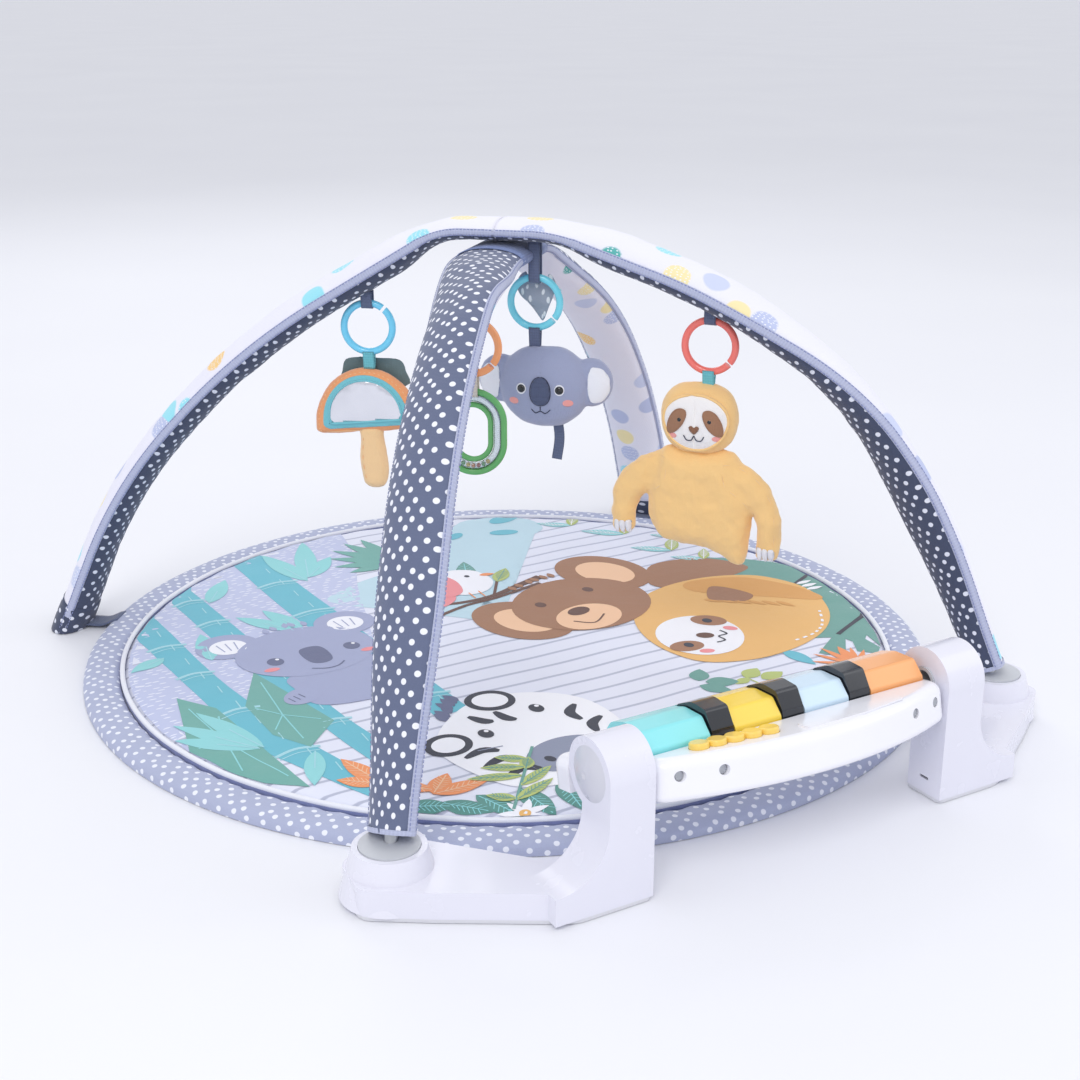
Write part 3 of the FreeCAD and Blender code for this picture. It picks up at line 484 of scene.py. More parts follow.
def arc_profile(r0, r1, top, count):
    """Rounded roll from r0 to r1, rising steeply at both edges."""
    out = []
    for k in range(count):
        a = math.pi * k / (count - 1)
        c = math.cos(a)
        out.append((r0 + (r1 - r0) * (0.5 - 0.5 * math.copysign(abs(c) ** 0.75, c)),
                    0.5 + (top - 0.5) * math.sin(a) ** 0.55))
    return out


panel = put(mat_panel(), "gym", "mat_panel", ["mat_panel"])
roll = arc_profile(393.2, 429.6, 11.6, 22)
border = lathe("mat_gathered_border", roll, 540, border_cloth, border_bump)
put(border, "gym", "mat_border", ["mat_border"])
cord_profile = [(391.2 + 2.5 * math.cos(a), 12.2 + 2.5 * math.sin(a)) for a in
                [2 * math.pi * k / 12 for k in range(12)]]


def cord_bump(angle, share, r):
    return 0.0, 0.16 * math.sin(angle * 700)


piping = lathe("mat_piping_cord", cord_profile, 720, white_thread, cord_bump, closed=True)
put(piping, "gym", "mat_piping", ["mat_piping"])
seam = lathe("mat_piping_seam", [(389.4, 11), (389.6, 5), (391.3, 0.8), (393.0, 5), (393.2, 11)], 180,
             lilac_thread)
seam.parent = piping


def smooth_line(points, steps=8, closed=True):
    """Catmull-Rom curve through the points."""
    count = len(points)
    out = []
    spans = count if closed else count - 1
    for i in range(spans):
        if closed:
            p = [points[(i + k - 1) % count] for k in range(4)]
        else:
            p = [points[min(count - 1, max(0, i + k - 1))] for k in range(4)]
        for k in range(steps):
            t = k / steps
            out.append(tuple(0.5 * (2 * p[1][d] + (p[2][d] - p[0][d]) * t
                                    + (2 * p[0][d] - 5 * p[1][d] + 4 * p[2][d] - p[3][d]) * t * t
                                    + (3 * p[1][d] - p[0][d] - 3 * p[2][d] + p[3][d]) * t ** 3)
                             for d in (0, 1)))
    if not closed:
        out.append(tuple(points[-1]))
    return out


def flat_pieces(bm, points, step):
    """The polygon cut into pieces of about one step, as new faces of bm."""
    verts = [bm.verts.new((x, y, 0)) for x, y in points]
    face = bm.faces.new(verts)
    made = bmesh.ops.triangulate(bm, faces=[face])["faces"]
    geometry = list(made) + list({e for f in made for e in f.edges}) + verts
    for axis in (0, 1):
        low = min(p[axis] for p in points)
        high = max(p[axis] for p in points)
        normal = (1, 0, 0) if axis == 0 else (0, 1, 0)
        k = math.floor(low / step) + 1
        while k * step < high:
            where = (k * step, 0, 0) if axis == 0 else (0, k * step, 0)
            geometry = bmesh.ops.bisect_plane(bm, geom=geometry, plane_co=where, plane_no=normal)["geom"]
            k += 1
    return [v for v in geometry if isinstance(v, bmesh.types.BMVert)]


class Print:
    """Shapes printed on the mat, gathered by colour. Shapes are drawn in cm from the mat's middle."""

    def __init__(self):
        self.meshes = {}

    def shape(self, points, ink, layer):
        bm = self.meshes.setdefault(ink, bmesh.new())
        limit = panel_radius / 10 - 0.35
        dense = []
        for a, b in zip(points, points[1:] + points[:1]):
            parts = max(1, int(math.dist(a, b) / 1.2))
            for k in range(parts):
                x, y = a[0] + (b[0] - a[0]) * k / parts, a[1] + (b[1] - a[1]) * k / parts
                r = math.hypot(x, y)
                shrink = min(1.0, limit / r) if r > 0 else 1.0
                dense.append((x * shrink, y * shrink))
        thin = [dense[0]]
        for p in dense[1:]:
            if math.dist(p, thin[-1]) > 0.02:
                thin.append(p)
        if math.dist(thin[0], thin[-1]) < 0.02:
            thin.pop()
        for v in flat_pieces(bm, thin, 1.4):
            x, y = v.co.x * 10, v.co.y * 10
            v.co = on_mat(x, y, mat_level(x, y) + layer_step * (layer + 0.6))

    def blob(self, points, ink, layer):
        self.shape(smooth_line(points, 6), ink, layer)

    def oval(self, cx, cy, w, h, ink, layer, turn=0.0, start=0.0, end=360.0):
        out = []
        c, s = math.cos(math.radians(turn)), math.sin(math.radians(turn))
        steps = max(10, int((end - start) / 9))
        for k in range(steps + (0 if end - start >= 360 else 1)):
            a = math.radians(start + (end - start) * k / steps)
            x, y = w / 2 * math.cos(a), h / 2 * math.sin(a)
            out.append((cx + x * c - y * s, cy + x * s + y * c))
        self.shape(out, ink, layer)

    def leaf(self, base, tip, width, ink, layer, vein=None):
        bx, by = base
        dx, dy = tip[0] - bx, tip[1] - by
        side, other = [], []
        for k in range(0, 11):
            t = k / 10
            w = width / 2 * math.sin(math.pi * t ** 0.85) ** 0.9 if 0 < t < 1 else 0
            length = math.hypot(dx, dy)
            nx, ny = -dy / length, dx / length
            side.append((bx + dx * t + nx * w, by + dy * t + ny * w))
            other.append((bx + dx * t - nx * w, by + dy * t - ny * w))
        self.shape(side + other[-2:0:-1], ink, layer)
        if vein:
            self.stroke([(bx + dx * 0.06, by + dy * 0.06), (bx + dx * 0.9, by + dy * 0.9)], 0.12, vein,
                        layer + 1)
            for k in range(2, 8):
                t = k / 10
                w = width * 0.36 * math.sin(math.pi * t)
                length = math.hypot(dx, dy)
                for sign in (-1, 1):
                    nx, ny = -dy / length * sign, dx / length * sign
                    tip_x = bx + dx * (t + 0.12) + nx * w
                    tip_y = by + dy * (t + 0.12) + ny * w
                    self.stroke([(bx + dx * t, by + dy * t), (tip_x, tip_y)], 0.08, vein, layer + 1)

    def stroke(self, points, width, ink, layer):
        left, right = [], []
        for i, (x, y) in enumerate(points):
            a = points[max(0, i - 1)]
            b = points[min(len(points) - 1, i + 1)]
            length = math.dist(a, b) or 1.0
            nx, ny = -(b[1] - a[1]) / length, (b[0] - a[0]) / length
            w = width[i] / 2 if isinstance(width, list) else width / 2
            left.append((x + nx * w, y + ny * w))
            right.append((x - nx * w, y - ny * w))
        self.shape(left + right[::-1], ink, layer)

    def curve(self, points, width, ink, layer):
        self.stroke(smooth_line(points, 5, closed=False), width, ink, layer)

    def bristles(self, path, length, lean, count, width, ink, layer):
        """Short strokes standing along a path: fur, ferns and saw-toothed leaves."""
        line = smooth_line(path, 12, closed=False)
        for k in range(count):
            x, y = line[int((len(line) - 1) * (k + 0.5) / count)]
            turn = math.radians(lean + 16 * math.sin(k * 2.4))
            tip = (x + length * math.cos(turn) * (0.85 + 0.15 * math.sin(k * 5.1)),
                   y + length * math.sin(turn))
            self.leaf((x, y), tip, width, ink, layer)

    def finish(self, inks):
        for ink, bm in self.meshes.items():
            bm.normal_update()
            for face in bm.faces:
                if face.normal.z < 0:
                    face.normal_flip()
                face.smooth = True
            obj = bmesh_object("mat_print_" + ink, bm, inks[ink])
            obj.parent = panel
            obj["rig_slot"] = "mat_panel"


inks = {
    "lavender": mat_ground("ink_lavender", "C3CAE8", "EEF0FB", (0.45, 1.6, 1), 0.0088, 0.0016, False),
    "teal": plush("ink_teal", "6CBFD2"),
    "pale_teal": plush("ink_pale_teal", "A9DBE6"),
    "aqua": plush("ink_aqua", "93D8DC"),
    "green_grey": plush("ink_green_grey", "74B0A8"),
    "dark_green": plush("ink_dark_green", "5E968E"),
    "leaf_green": plush("ink_leaf_green", "6FA39B"),
    "sprig": plush("ink_sprig", "B9C77A"),
    "orange": plush("ink_orange", "F29A66"),
    "peach": plush("ink_peach", "F6C9A4"),
    "pink": plush("ink_pink", "F0959B"),
    "yellow": plush("ink_yellow", "EDBB74"),
    "gold": plush("ink_gold", "DFA45C"),
    "brown": plush("ink_brown", "6A4A40"),
    "light_brown": plush("ink_light_brown", "A5785C"),
    "koala": plush("ink_koala", "A6ADCE"),
    "koala_dark": plush("ink_koala_dark", "6B7191"),
    "white": plush("ink_white", "F4F5FC", 0.02),
    "path": plush("ink_path", "C2DFEC"),
    "black": plush("ink_black", "3B3E4C"),
    "grey": plush("ink_grey", "8F96AD"),
}
art = Print()


def bamboo(left, right, joints):
    outline = smooth_line(left, 4, closed=False) + smooth_line(right, 4, closed=False)[::-1]
    art.shape(outline, "teal", 2)
    low = min(p[1] for p in left)
    high = max(p[1] for p in left)

    def across(line, y):
        for a, b in zip(line, line[1:]):
            if min(a[1], b[1]) <= y <= max(a[1], b[1]):
                return a[0] + (b[0] - a[0]) * (y - a[1]) / (b[1] - a[1])
        return line[0][0]

    for y in joints:
        x0, x1 = across(left, y) - 0.35, across(right, y) + 0.35
        art.curve([(x0, y - 0.35), ((x0 + x1) / 2, y + 0.3), (x1, y - 0.25)], 0.42, "pale_teal", 3)
        art.curve([(x0 + 0.3, y - 1.0), ((x0 + x1) / 2, y - 0.5), (x1 - 0.3, y - 0.9)], 0.14, "pale_teal", 3)
    y = low + 2.4
    while y < high - 1.6:
        x = across(left, y) * 0.35 + across(right, y) * 0.65
        art.stroke([(x, y), (x + 0.1, y + 1.7)], 0.13, "pale_teal", 3)
        y += 4.1


def jungle():
    edge = [(38.7 * math.cos(math.radians(a)), 38.7 * math.sin(math.radians(a))) for a in range(93, 203, 4)]
    art.shape(edge + smooth_line([(-36, -15), (-30, -2), (-22, -4), (-16, -2), (-12, 8), (-8, 20), (-4, 30),
                                  (-2, 38.6)], 5, closed=False), "lavender", 1)
    bamboo([(-34, 20), (-33, 0), (-32.5, -10), (-30, -18), (-27, -26)],
           [(-30.5, 24.5), (-30, 5), (-29, -5), (-28, -12), (-25, -25)], [14.5, 6.5, -3.5, -14])
    bamboo([(-27.5, 28), (-27, 10), (-26, -3), (-25, -15), (-24, -22)],
           [(-24.5, 31), (-24, 18), (-23, -7), (-22, -16), (-21, -22)], [18.5, 25.5, -10])
    bamboo([(-17.5, 35), (-17.5, 15), (-16, 0), (-15.5, -14)],
           [(-13.5, 36), (-13, 15), (-12.5, 0), (-12, -14)], [26, 16, -9.5])
    for base, tip, width in [((-12, 25), (-13.5, 35.5), 2.6), ((-11.5, 26), (-7.5, 37.5), 2.6),
                             ((-11.5, 26), (-6.6, 31), 2.4), ((-19, 12), (-23, 18.5), 2.2),
                             ((-18, 12), (-19.8, 19), 2.1), ((-29, 9), (-27.8, 16), 2.2),
                             ((-32, -12), (-38, -6.5), 2.2), ((-32, -12), (-37.2, -3.5), 2.0),
                             ((-31.6, -12), (-34.5, -2), 2.0), ((-28, -15), (-30.6, -21), 1.9),
                             ((-24, 24), (-20, 30), 2.3), ((-33, 12), (-37, 10), 2.0)]:
        art.leaf(base, tip, width, "aqua", 4)
        art.stroke([base, ((base[0] + tip[0]) / 2, (base[1] + tip[1]) / 2)], 0.12, "pale_teal", 5)
    for fan in ([(-35, 2), (-32.5, -2), (-31, -21), (-35, -17), (-37.5, -9)],
                [(-30, -3), (-26.5, 4), (-24, -10), (-28, -14), (-30, -10)]):
        art.shape(fan, "green_grey", 3)
        mid_x = sum(p[0] for p in fan) / len(fan)
        mid_y = sum(p[1] for p in fan) / len(fan)
        for p in fan:
            art.stroke([(mid_x, mid_y), (mid_x + 0.75 * (p[0] - mid_x), mid_y + 0.75 * (p[1] - mid_y))],
                       0.14, "aqua", 4)


def printed_koala():
    art.blob([(-24.5, -2), (-24, 1), (-18.5, 3), (-13, 1.4), (-12, -3), (-13.6, -7), (-20, -7.4),
              (-24, -6)], "koala", 4)
    art.oval(-24.4, -3.6, 4.4, 3.2, "koala", 5, 30)
    for x in (-26.5, -13.5):
        art.oval(x, 11.4, 6.6, 6.2, "koala", 4)
        art.oval(x, 11.2, 3.9, 3.7, "white", 5)
        for k in (-1, 0, 1):
            art.stroke([(x + k * 0.7, 10.2), (x + k * 0.95, 12.2)], 0.14, "koala", 6)
    art.oval(-20, 6.4, 14.4, 12.4, "koala", 5)
    art.blob([(-20.9, 5.2), (-20.6, 6.7), (-19.5, 7.1), (-18.4, 6.7), (-18.1, 5.2), (-18.4, 3.2),
              (-19.5, 2.6), (-20.6, 3.2)], "koala_dark", 6)
    for x in (-23.7, -15.4):
        art.oval(x, 5.3, 1.7, 1.9, "koala_dark", 6)
        art.oval(x + 0.35, 5.75, 0.4, 0.45, "white", 7)
        art.oval(x * 0.98 - 0.4 + (1.2 if x > -20 else -1.1), 3.6, 1.6, 0.9, "pink", 6)
    art.curve([(-21.2, 1.9), (-19.9, 1.2), (-18.6, 1.3), (-17.6, 2.1)], 0.2, "koala_dark", 6)
    art.bristles([(-22, 12.3), (-19.5, 13), (-17, 12.4)], 1.4, 90, 5, 0.7, "koala", 5)
    art.oval(-14.4, -1.4, 4.0, 2.9, "koala", 5, -20)
    for k in range(3):
        art.stroke([(-25.6 + 0.6 * k, -4.6 + 0.25 * k), (-25.9 + 0.6 * k, -3.6 + 0.25 * k)], 0.12,
                   "koala_dark", 6)


def branch_and_bird():
    art.blob([(-12.4, 17.6), (-6, 10.5), (0, 4.0), (1.4, 4.6), (-3.4, 12), (-1.5, 20), (5, 26),
              (12.5, 34.5), (19.5, 33), (20.5, 27.5), (13, 24), (8, 21.5), (4.5, 23.5), (-4.6, 22.5),
              (-9.5, 20.5)], "path", 1)
    art.curve([(-4, 11.3), (0, 10.2), (4, 10.3), (8, 11.6), (11.4, 12.8)],
              [0.5 + 0.03 * k for k in range(21)], "brown", 4)
    art.curve([(-4, 7.8), (0, 9.2), (4, 9.6), (10.4, 11)], 0.55, "brown", 4)
    art.stroke([(4, 10.2), (6.6, 14.2)], 0.34, "brown", 4)
    art.leaf((6.4, 13.8), (9.4, 17.2), 1.9, "sprig", 5, "leaf_green")
    art.leaf((3.6, 15.5), (6.2, 21.6), 2.4, "leaf_green", 3, "aqua")
    art.blob([(0.4, 13.2), (0.6, 17.8), (3, 19.6), (5.8, 18.2), (6.2, 14.6), (4.4, 12.2), (2, 11.8)],
             "white", 5)
    art.blob([(-1.3, 13.4), (-0.9, 17.6), (1.4, 18.9), (2.4, 16.4), (1.7, 13.2), (0, 12.2)], "pink", 6)
    art.leaf((0.4, 13.2), (-2.6, 9.8), 1.6, "pink", 5)
    art.oval(4.2, 17.0, 0.6, 0.7, "black", 6)
    art.leaf((5.6, 16.6), (7.4, 16.3), 0.9, "orange", 6)
    for x in (2.0, 3.2):
        art.stroke([(x, 12.4), (x - 0.1, 10.6)], 0.17, "orange", 6)
    for cx, cy, w, h, turn in [(18, 33, 4.8, 2.4, 20), (15.5, 28.5, 3.6, 1.9, -15),
                               (9.6, 30.2, 2.6, 1.5, 30)]:
        art.oval(cx, cy, w, h, "teal", 3, turn)
    for tip in [(-6.8, 25.0), (-7.6, 27.6), (-7.0, 30.4), (-5.6, 32.8), (-3.4, 34.4), (-1.0, 34.8)]:
        art.leaf((-0.6, 25.6), tip, 1.9, "green_grey", 4)


def printed_bear():
    for cx, cy in ((3.2, 2.4), (18.4, 10.4)):
        art.oval(cx, cy, 9.4, 12.2, "light_brown", 3, 18)
        art.oval(cx + 0.2, cy - 0.2, 5.6, 7.6, "peach", 4, 18)
    art.oval(11.2, 3.4, 16.4, 14.6, "light_brown", 5, 20)
    art.oval(9.8, -0.4, 8.0, 6.4, "peach", 6, 20)
    art.oval(9.6, 1.4, 2.9, 2.0, "brown", 7, 20)
    art.curve([(7.6, -0.8), (9.4, -2.2), (11.6, -0.6)], 0.22, "brown", 7)
    art.oval(7.0, 5.1, 1.2, 1.5, "brown", 6)
    art.oval(14.0, 6.6, 1.2, 1.5, "brown", 6)
    art.bristles([(6.5, 10.2), (10, 11.4), (13, 11.8)], 1.5, 100, 6, 0.8, "light_brown", 5)


def printed_sloth():
    palm = [(25, 9), (30, 9.5), (34.6, 6.3), (37.6, 3.4), (39, 0), (38.8, -4), (38.6, -7.6), (38.2, -9.6),
            (36.8, -14), (35.7, -17), (34.2, -20.2), (32.7, -22.8), (32.5, -21.5), (32.1, -19.3),
            (31.3, -20), (31.3, -22.3), (29.8, -23.6), (28.4, -22.1), (29.7, -19.9), (29.5, -19),
            (27, -22.0), (25.4, -21.4), (24.7, -20.5), (28.5, -18), (22.5, -15), (24, 0)]
    art.shape(palm, "leaf_green", 2)
    for line in ([(35.2, -3.8), (39.0, -1.8)], [(29.6, -17.7), (36.4, -14.4)], [(33.4, 4.4), (36, 6.6)]):
        art.stroke(line, 0.5, "black", 3)
    art.blob([(21, 4.4), (24.5, 9.4), (31.0, 8.4), (34.0, 3.4), (29, 1.6), (24, 1.4)], "light_brown", 3)
    art.blob([(13.5, -3.5), (18.5, 1.8), (26, 3.2), (33, 0.4), (35.4, -6), (32.8, -12.6), (27.5, -17),
              (20, -18.6), (13.4, -16.4), (11.6, -10.4)], "yellow", 4)
    art.blob([(25, 2.8), (31.4, 0.6), (35, -5.6), (34.6, -9), (30, -5.5), (24, 0)], "gold", 5)
    for k in range(6):
        art.leaf((23.4 + 1.3 * k, -2.5 - 0.9 * k), (24.8 + 1.2 * k, -4.3 - 1.0 * k), 0.7, "gold", 6)
    art.oval(17.0, -10.6, 9.2, 10.4, "white", 6, -25)
    art.oval(20.1, -7.9, 3.9, 2.7, "light_brown", 7, -45)
    art.oval(14.1, -12.4, 3.7, 2.6, "light_brown", 7, -10)
    art.oval(19.9, -7.9, 1.0, 1.2, "black", 8)
    art.oval(14.4, -12.3, 1.0, 1.2, "black", 8)
    art.oval(17.4, -11.0, 1.9, 1.4, "brown", 8, -30)
    art.curve([(17.4, -13.1), (18.5, -13.0), (18.5, -11.9), (19.6, -11.8), (19.5, -10.7)], 0.22, "black", 8)
    art.oval(15.2, -14.4, 1.6, 1.0, "pink", 7, -20)
    art.oval(20.8, -10.8, 1.6, 1.0, "pink", 7, -50)
    art.blob([(24.0, -2.6), (26.1, 0.2), (27.8, -1.0), (28.9, -4.1), (27.0, -5.2), (25.2, -4.0)],
             "light_brown", 6)
    hem = smooth_line([(32.2, -11.6), (30.0, -14.7), (27.5, -16.3), (24.4, -16.8)], 6, closed=False)
    for a, b in zip(hem[::2], hem[1::2]):
        art.stroke([a, b], 0.3, "white", 6)
    for k in range(3):
        art.leaf((35.2, -4.0 - 0.9 * k), (37.4, -3.9 - 1.0 * k), 0.7, "white", 5)
    for base, tip, w, ink in [((10.6, -20.4), (13.6, -22.0), 2.2, "leaf_green"),
                              ((10.2, -19.9), (11.9, -17.6), 2.0, "leaf_green"),
                              ((9.6, -20.8), (11.6, -23.6), 1.9, "leaf_green"),
                              ((14.6, -21.6), (17.0, -20.3), 1.9, "sprig"),
                              ((15.8, -22.6), (18.6, -22.3), 1.9, "sprig"),
                              ((14.8, -21.8), (12.9, -22.3), 1.2, "sprig"),
                              ((22, -18), (22.6, -22.6), 1.8, "teal")]:
        art.leaf(base, tip, w, ink, 3)
    art.stroke([(15.0, -24.0), (14.7, -21.4)], 0.2, "sprig", 3)
    for tip, w in [((27.4, -20.2), 1.3), ((24.0, -20.4), 0.7), ((22.7, -21.8), 0.7), ((29.2, -22.2), 0.7),
                   ((30.2, -24.2), 0.7), ((22.3, -23.4), 0.7), ((25.6, -19.6), 0.8), ((29.6, -25.8), 0.7),
                   ((28.4, -21.0), 0.7)]:
        art.leaf((26.2, -24.8), tip, w, "orange", 4)


def printed_zebra():
    art.blob([(-17.6, -26.6), (-18.6, -20.8), (-16, -16.2), (-11, -13.0), (-5.4, -13.8), (-1.6, -17.6),
              (-1.2, -23.6), (-4, -29.2), (-10, -31.4), (-15.2, -30.2)], "white", 4)
    for x, y, w, h, turn in [(-17.3, -19.9, 4.1, 3.8, 20), (-9.6, -13.6, 4.4, 3.9, -20)]:
        art.oval(x, y, w + 0.5, h + 0.5, "black", 5, turn)
        art.oval(x, y, w - 0.9, h - 0.9, "white", 6, turn)
    for x, y in ((-13.3, -19.6), (-6.6, -17.2)):
        art.oval(x, y, 1.4, 1.8, "black", 6)
        art.oval(x + 0.25, y + 0.4, 0.45, 0.5, "white", 7)
    stripes = [[(-17.2, -23.0), (-15.2, -22.4), (-13.9, -23.2)],
               [(-16.6, -25.4), (-14.4, -24.6), (-12.9, -25.6)],
               [(-3.0, -18.2), (-4.4, -19.6), (-4.2, -21.4)], [(-2.2, -21.6), (-3.8, -22.6), (-4.3, -24.3)],
               [(-3.4, -25.6), (-4.8, -25.6), (-5.8, -27.2)], [(-13.0, -15.6), (-12.2, -17.2),
                                                               (-11.4, -17.6)], [(-10.4, -15.9),
                                                                                 (-10.1, -17.6),
                                                                                 (-9.4, -18.4)],
               [(-15.8, -28.0), (-13.6, -27.0), (-12.2, -28.4)]]
    for line in stripes:
        fine = smooth_line(line, 5, closed=False)
        count = len(fine)
        art.stroke(fine, [0.25 + 0.85 * math.sin(math.pi * (k + 0.6) / (count + 0.4))
                          for k in range(count)], "black", 5)
    art.oval(-8.8, -26.6, 8.4, 6.0, "grey", 5, 10)
    for x, y in ((-10.8, -26.8), (-6.9, -26.0)):
        art.oval(x, y, 0.9, 1.2, "black", 6, 20)
    art.curve([(-11.2, -28.4), (-9, -29.2), (-6.6, -28.2)], 0.2, "black", 6)
    art.curve([(-15.6, -22.3), (-13.2, -22.6)], 0.15, "grey", 6)
    art.bristles([(-15.0, -15.6), (-13.4, -13.4), (-12.0, -12.0)], 2.2, 105, 7, 1.0, "koala_dark", 4)


def front_plants():
    art.curve([(-18, -33), (-14.6, -28.6), (-11, -24)], 0.28, "leaf_green", 8)
    for tip in [(-19, -26.5), (-17, -25.3), (-15, -24.2), (-12.3, -25.6), (-11.4, -28), (-12.4, -30),
                (-18.9, -29.8)]:
        root_y = tip[1] - 1.8
        root_x = -18 + (root_y + 33) * 0.78
        art.leaf((root_x, max(-32.6, root_y)), tip, 1.35, "sprig", 8, "leaf_green")
    for base, tip in [((-25.4, -23.6), (-26.7, -17.6)), ((-25.4, -23.6), (-28.6, -21)),
                      ((-25.4, -23.6), (-21.6, -22.2)), ((-25.4, -23.6), (-22, -27)),
                      ((-22.6, -27.4), (-19.8, -24.6)), ((-22.6, -27.4), (-17.2, -27.4))]:
        art.leaf(base, tip, 2.0, "orange", 5, "peach")
    for x, y, turn in [(-23.6, -29, 160), (-21, -30.6, 140), (-18.6, -31.6, 115), (-15.6, -32.6, 95),
                       (-12.6, -33, 75), (-10, -33.2, 55)]:
        c, s = math.cos(math.radians(turn)), math.sin(math.radians(turn))
        art.leaf((x + 2.2 * c, y + 2.6 * s), (x - 1.8 * c, y - 3.0 * s), 2.3, "dark_green", 3, "aqua")
    for k in range(7):
        a = math.radians(51 * k)
        art.leaf((-17.5, -34), (-17.5 + 2.3 * math.cos(a), -34 + 2.3 * math.sin(a)), 0.8, "white", 6)
    art.oval(-17.5, -34, 1.0, 1.0, "yellow", 7)
    art.leaf((0.8, -33.4), (-9.5, -36.6), 4.0, "dark_green", 3, "sprig")
    art.leaf((2.6, -32.6), (12, -36.0), 3.6, "leaf_green", 3, "sprig")
    art.leaf((22, -26.5), (27, -27.2), 2.2, "leaf_green", 2, "dark_green")
    for x, y, s in [(29.5, 12.5, 1.0), (33.5, 16, 0.8), (28, 20.5, 1.1), (24, 26.5, 0.9), (31, 8, 0.8)]:
        art.leaf((x, y), (x - 3.6 * s, y + 3.4 * s), 1.7 * s, "aqua", 3, "white")
        art.leaf((x, y), (x + 2.8 * s, y + 3.8 * s), 1.7 * s, "sprig", 3, "white")


jungle()
printed_koala()
branch_and_bird()
printed_bear()
printed_sloth()
printed_zebra()
front_plants()
art.finish(inks)


# ---------------------------------------------------------------- arches
def unit(v):
    return v.normalized()


crossing = Vector((0, 5, 0))
leg_feet = {"front": Vector((312, -374, 40)), "rear": Vector((369, 288, 20))}
leg_profiles = {"front": [(222, 384), (345, 306), (428, 180)], "rear": [(255, 316), (398, 168)]}
leg_ends = {"front": 20, "rear": -20}
hem_z = {"front": 46.5, "rear": 16}
hem_tall = {"front": 8, "rear": 9}


def heading_of(side, foot):
    return unit(Vector((foot.x * side, foot.y, 0)) - crossing)


upper_heading = unit(heading_of(1, leg_feet["front"]) - heading_of(-1, leg_feet["rear"]))
lower_heading = unit(heading_of(-1, leg_feet["front"]) - heading_of(1, leg_feet["rear"]))


def leg_line(place, side, height, mean, spacing):
    """Centre line of one leg as (distance, point, heading), in mm from the mat's middle."""
    foot = leg_feet[place]
    out = heading_of(side, foot)
    reach = math.hypot(foot.x - crossing.x, foot.y - crossing.y)
    profile = leg_profiles[place]
    points = [crossing + Vector((0, 0, height)), crossing + mean * 60 + Vector((0, 0, height))]
    points += [crossing + out * d + Vector((0, 0, z)) for d, z in profile]
    slope = (profile[-1][1] - foot.z) / (profile[-1][0] - reach)
    end = leg_ends[place]
    points.append(crossing + out * (reach + (end - foot.z) / slope) + Vector((0, 0, end)))
    line = []
    travelled = 0.0
    last = points[0]

    def straight(a, b, travelled):
        length = (b - a).length
        count = max(1, round(length / spacing))
        for k in range(count):
            line.append((travelled + length * k / count, a + (b - a) * (k / count), unit(b - a)))
        return travelled + length

    for i in range(1, len(points) - 1):
        before, corner, after = points[i - 1], points[i], points[i + 1]
        a, b = unit(before - corner), unit(after - corner)
        half = a.angle(b) / 2
        radius = 0.45 * min((before - corner).length, (after - corner).length) * math.tan(half)
        tangent = radius / math.tan(half)
        start, stop = corner + a * tangent, corner + b * tangent
        travelled = straight(last, start, travelled)
        middle = corner + unit(a + b) * (radius / math.sin(half))
        sweep = math.pi - 2 * half
        count = max(2, round(radius * sweep / spacing))
        toward, along = unit(start - middle), -a
        for k in range(count):
            t = sweep * k / count
            line.append((travelled + radius * t, middle
                         + (toward * math.cos(t) + along * math.sin(t)) * radius,
                         unit(along * math.cos(t) - toward * math.sin(t))))
        travelled += radius * sweep
        last = stop
    travelled = straight(last, points[-1], travelled)
    line.append((travelled, points[-1], unit(points[-1] - last)))
    return line


def eased(t):
    t = min(1.0, max(0.0, t))
    return t * t * (3 - 2 * t)


def sleeve_size(place, distance, total):
    width = 32.0
    depth = 10.5 + 6.5 * eased((distance - 60) / 60)
    if place == "front":
        taper = eased((distance - total + 190) / 190)
        width += (21 - width) * taper
        depth += (14 - depth) * taper
    return width, depth


def sleeve_frame(heading, turn=0.0):
    """Directions across a sleeve and out of its face."""
    across = unit(heading.cross(Vector((0, 0, 1))))
    outward = unit(across.cross(heading))
    c, s = math.cos(turn), math.sin(turn)
    return across * c + outward * s, outward * c - across * s


def turn_at(name, distance):
    """The two front sleeves sit a little turned on their rods."""
    if "front_right" in name:
        return math.radians(40) * eased((distance - 230) / 270)
    if "front_left" in name:
        return math.radians(-30) * eased((distance - 70) / 140)
    return 0.0


